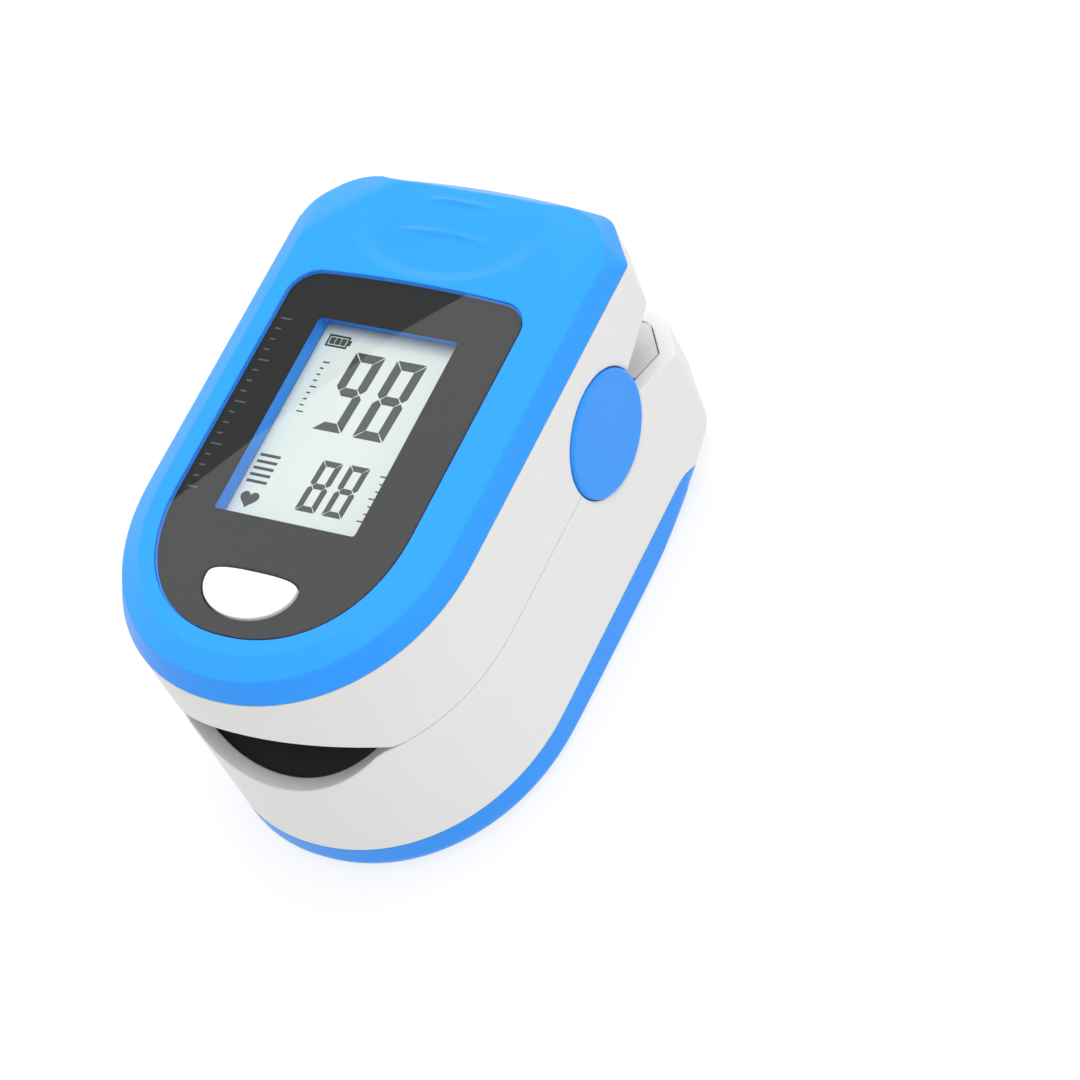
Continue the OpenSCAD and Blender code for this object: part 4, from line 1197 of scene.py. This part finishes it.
# ---------------------------------------------------------------- battery cells
def build_cell(side_name, direction):
    """wrapped cell along Y; direction is the way its raised end points"""
    node_name = "battery_" + side_name
    low, high = ends(node_name)
    r, length = (high[0] - low[0]) / 2, high[1] - low[1]
    body = length - 1.0
    start_y = low[1] if direction > 0 else high[1]
    centre = [(low[0] + high[0]) / 2, start_y, (low[2] + high[2]) / 2]

    def turned(profile, closed=False):
        verts, faces = lathe(profile, 72, axis="y", closed=closed)
        return verts * [1, direction, 1] + centre, faces

    # profiles: distance along the cell, radius
    wrap = [(0.28, r - 0.75), (0.10, r - 0.62), (0.0, r - 0.40), (0.03, r - 0.15), (0.2, r),
            (0.6, r), (body * 0.33, r), (body * 0.66, r), (body - 0.7, r), (body - 0.35, r),
            (body - 0.12, r - 0.08), (body, r - 0.30), (body - 0.05, r - 0.62),
            (body - 0.22, r - 0.75)]
    flat_end = [(0.24, 0.0), (0.24, r - 1.9), (0.12, r - 1.6), (0.14, r - 1.0),
                (0.26, r - 0.7), (0.5, r - 0.6), (0.5, 0.0)]
    raised_end = [(body - 0.6, 0.0), (body - 0.6, r - 0.6), (body - 0.28, r - 0.7),
                  (body - 0.28, 2.6), (body - 0.1, 2.3), (body - 0.05, 1.95),
                  (length - 0.2, 1.88), (length - 0.05, 1.75), (length, 1.5), (length, 0.0)]
    name = "cell_" + side_name
    done(make(name + "_wrap", *turned(wrap, closed=True)), WRAP, "lower",
         node_name)
    cell_ends = join([turned(flat_end), turned(raised_end)])
    done(make(name + "_ends", *cell_ends), NICKEL, "lower")


# ---------------------------------------------------------------- springs and ribbon
def cone_path(x, y, direction):
    """conical coil along Y with flat end turns"""
    length, r_base, r_tip, turns, end_gap, z = 3.14, 3.1, 1.9, 3.5, 0.25, 6.5
    u = np.linspace(0, 1, 150)
    climb = np.clip((u - 0.12) / 0.76, 0, 1)
    r = r_base + (r_tip - r_base) * u
    turn = 2 * math.pi * turns * u
    return np.stack([x + r * np.cos(turn),
                     y + direction * (end_gap + (length - 2 * end_gap) * climb),
                     z + r * np.sin(turn)], 1)


def build_contact_springs():
    low, high = ends("battery_springs")
    paths = (cone_path(-5.45, low[1] + 0.03, 1), cone_path(5.45, high[1] - 0.03, -1))
    springs = make("contact_springs", *join([tube(path, 0.22, 10) for path in paths]))
    done(springs, NICKEL, "lower", "battery_springs")


def build_hinge_spring():
    """torsion spring round the hinge pin, one leg to each jaw"""
    r, x, turns = 2.0, 3.3, 7
    low_slope, high_slope = 0.34, 0.42
    lead_y = 0.35
    lead_z = math.sqrt(r ** 2 - lead_y ** 2)

    def beside(across, y, z):
        return np.array([across, HINGE_Y + y, HINGE_Z + z])

    points = [beside(-x, s, -r - s * low_slope) for s in np.linspace(5.7, 0.9, 14)]
    points += [bezier(beside(-x, 0.9, -r - 0.9 * low_slope), beside(-x, 0.15, -r - 0.05),
                      beside(-x, -lead_y, -lead_z), b) for b in np.linspace(0.06, 0.94, 8)]
    start = math.atan2(-lead_z, -lead_y)
    rest = (start - math.atan2(lead_z, -lead_y)) % (2 * math.pi)
    total = 2 * math.pi * turns + rest
    for u in np.linspace(0, 1, 340):
        turn = start - total * u
        points.append(beside(-x + 2 * x * u, r * math.cos(turn), r * math.sin(turn)))
    coil_end = points[-1]
    points += [bezier(coil_end, beside(x, 0.15, r + 0.06), beside(x, 0.9, r + 0.9 * high_slope), b)
               for b in np.linspace(0.1, 0.94, 8)]
    points += [beside(x, s, r + s * high_slope) for s in np.linspace(0.95, 5.7, 14)]
    spring = make("hinge_spring", *tube(points, 0.33, 12))
    done(spring, STEEL, node_name="torsion_spring")
    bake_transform(spring)


def bent(path, r):
    """polyline with rounded corners, as 120 evenly spaced points"""
    path = np.asarray(path, float)
    out = [path[0]]
    for before, corner, after in zip(path, path[1:], path[2:]):
        a, b = before - corner, after - corner
        a, b = a / np.linalg.norm(a), b / np.linalg.norm(b)
        out += [bezier(corner + a * r, corner, corner + b * r, s) for s in np.linspace(0, 1, 6)]
    out = np.array([*out, path[-1]])
    run = np.r_[0, np.cumsum(np.linalg.norm(np.diff(out, axis=0), axis=1))]
    s = np.linspace(0, run[-1], 120)
    return np.stack([np.interp(s, run, out[:, 0]), np.interp(s, run, out[:, 1])], 1)


def build_ribbon():
    # path: y, z
    middle = bent([(4.6, 25.77), (6.77, 25.77), (6.77, 10.83), (-7.9, 10.83)], 0.55)
    tangent = np.gradient(middle, axis=0)
    tangent /= np.linalg.norm(tangent, axis=1)[:, None]
    normal = np.stack([-tangent[:, 1], tangent[:, 0]], 1)
    # section: x, share of the half thickness
    section = [(-1.5, 0.75), (-1.42, 1.0), (-0.95, 1.0), (-0.5, 0.92), (0, 1.0),
               (0.5, 0.92), (0.95, 1.0), (1.42, 1.0), (1.5, 0.75)]
    rows = []
    for point, out in zip(middle, normal * 0.14):
        top = [(x, *(point + out * k)) for x, k in section]
        bottom = [(x, *(point - out * k)) for x, k in section[::-1]]
        rows.append(np.array(top + bottom))
    ribbon = make("flex_ribbon", *capped(rows))
    done(ribbon, AMBER, node_name="ribbon_cable")
    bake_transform(ribbon)


# ---------------------------------------------------------------- pieces that keep their shape
# CAD node: material, bevel width
KEPT = {
    "finger_tray": (GREY, 0.12), "lcd_panel": (LCD, 0.06), "lcd_backlight": (DIFFUSER, 0.1),
    "lcd_frame": (LCD_FRAME, 0.12), "lcd_connector_strips": (ZEBRA, 0.08),
    "main_pcb": (BOARD, 0.04), "microcontroller": (CHIP, 0.05),
    "pcb_components": (CERAMIC, 0.08), "tact_switch_body": (SWITCH, 0.12),
    "switch_plunger": (CHIP, 0.12), "pcb_screws": (STEEL, 0.06), "tray_screws": (STEEL, 0.06),
    "upper_sensor_window": (RESIN, 0.06), "lower_sensor_window": (RESIN, 0.06),
    "photodiode": (CHIP, 0.06), "photodiode_board": (BOARD, 0.04),
    "emitter_board": (BOARD, 0.04), "emitter_led": (LED, 0.05),
    "battery_contact_plates": (NICKEL, 0.06), "hinge_pin": (STEEL, 0.15)}


def dress_kept_pieces():
    for name, (material, width) in KEPT.items():
        ob = nodes[name]
        ob.data.materials.clear()
        ob.data.materials.append(material)
        ob.modifiers.clear()
        ob.modifiers.new("weld", "WELD").merge_threshold = WELD
        add_bevel(ob, width, segments=2, angle=28)
        smooth(ob, 28)
        add_weighted_normals(ob, keep_sharp=False)


# ---------------------------------------------------------------- studio, in metres
CAMERA = np.array([0.21743, -0.17015, 0.32429])
VIEW_RIGHT = (0.8481, 0.4157, -0.3286)
VIEW_UP = (-0.1775, 0.8072, 0.5630)
VIEW_BACK = (0.4992, -0.4191, 0.7584)
CARD_Z = 0.12
# card corners as sight lines from the camera, mirrored by the lens: x and y run per unit drop
CARD_LINES = [(-0.702530, 0.657900), (-0.723365, 0.633387), (-0.739654, 0.614477),
              (-0.764309, 0.575940), (-0.786742, 0.537301), (-0.798915, 0.514824),
              (-0.848537, 0.573771), (-0.837913, 0.683231), (-0.738058, 0.700224)]


def sheet(name, corners):
    mesh = bpy.data.meshes.new(name)
    mesh.from_pydata(corners, [], [tuple(range(len(corners)))])
    return link_object(name, mesh)


def build_floor():
    half = 3.0
    floor = sheet("studio_floor", [(-half, -half, 0), (half, -half, 0), (half, half, 0),
                                   (-half, half, 0)])
    paper = plastic("floor_paper", colour=(0.93, 0.93, 0.93), rough=0.75, tint=0.01, grain=0.2,
                    grain_size=1500.0, edge_wear_and_highlight=0.0, spec=0.1, mottle=12.0)
    floor.data.materials.append(paper)
    # mostly self-lit, so that it stays white
    tree = paper.node_tree
    glow = node(tree, "ShaderNodeEmission", {"Color": (1.0, 1.0, 1.0, 1)}).outputs[0]
    surface = mix_shader(tree, 0.80, tree.nodes["Principled BSDF"].outputs[0], glow)
    fill(tree, tree.nodes["Material Output"], {"Surface": surface})
    floor.location.z = -0.00002


def build_world():
    """white surround, dimmer for the shading than for the mirror reflections"""
    world = bpy.data.worlds.new("studio") if scene.world is None else scene.world
    scene.world = world
    world.use_nodes = True
    tree = world.node_tree
    background = tree.nodes.get("Background") or tree.nodes.new("ShaderNodeBackground")
    glossy = node(tree, "ShaderNodeLightPath").outputs["Is Glossy Ray"]
    shading, extra_in_mirrors = 0.62, 0.78
    strength = math_node(tree, "MULTIPLY_ADD", glossy, extra_in_mirrors, shading)
    fill(tree, background, {"Color": (1.0, 1.0, 1.0, 1), "Strength": strength})


def area_light(name, location, target, size, power):
    light = bpy.data.lights.new(name, "AREA")
    light.shape, light.size, light.energy = "SQUARE", size, power
    ob = link_object(name, light)
    ob.location = location
    direction = Vector(target) - Vector(location)
    ob.rotation_euler = direction.to_track_quat("-Z", "Y").to_euler()
    ob.visible_glossy = False


def build_card():
    """dark card, seen only as a reflection in the lens"""
    drop = CARD_Z + CAMERA[2] - 2 * TOP_Z * MM
    card = sheet("studio_card", [(CAMERA[0] + x * drop, CAMERA[1] + y * drop, CARD_Z)
                                 for x, y in CARD_LINES])
    material, tree = new_material("card_paper")
    tree.nodes.clear()
    glow = node(tree, "ShaderNodeEmission", {"Color": (0.17, 0.17, 0.17, 1)}).outputs[0]
    node(tree, "ShaderNodeOutputMaterial", {"Surface": glow})
    card.data.materials.append(material)
    card.visible_camera = card.visible_diffuse = False
    card.visible_shadow = card.visible_transmission = False


def build_camera():
    camera = bpy.data.cameras.new("photo_camera")
    camera.lens, camera.sensor_width, camera.sensor_fit = 149.14, 36.0, "HORIZONTAL"
    camera.clip_start, camera.clip_end = 0.01, 20
    ob = link_object("photo_camera", camera)
    turn = Matrix((VIEW_RIGHT, VIEW_UP, VIEW_BACK)).transposed().to_quaternion()
    turn.normalize()
    ob.rotation_mode = "QUATERNION"
    ob.rotation_quaternion = turn
    ob.location = Vector(CAMERA)
    scene.camera = ob
    scene.view_settings.view_transform = "Standard"
    scene.view_settings.look = "None"


# ---------------------------------------------------------------- build
build_upper_housing()
build_lower_housing()
build_battery_door()
build_top_cover()
build_lens()
build_film()
build_segments()
build_button()
build_hinge_caps()
build_pad("upper", arc_z=UPPER_ARCH_Z, side=1, r0=ARCH_R, r1=17.58, edge_z=18.32)
build_pad("lower", arc_z=29.8, side=-1, r0=16.8, r1=17.78, edge_z=17.08)
build_cell("left", 1)
build_cell("right", -1)
build_contact_springs()
build_hinge_spring()
build_ribbon()
dress_kept_pieces()

build_floor()
build_world()
area_light("key", location=(0.0, 0.12, 0.78), target=(0, 0, 0.01), size=0.6, power=5.6)
area_light("fill", location=(0.85, -0.15, 0.35), target=(0, 0, 0.015), size=0.6, power=1.25)
build_card()
build_camera()

bpy.context.view_layer.update()
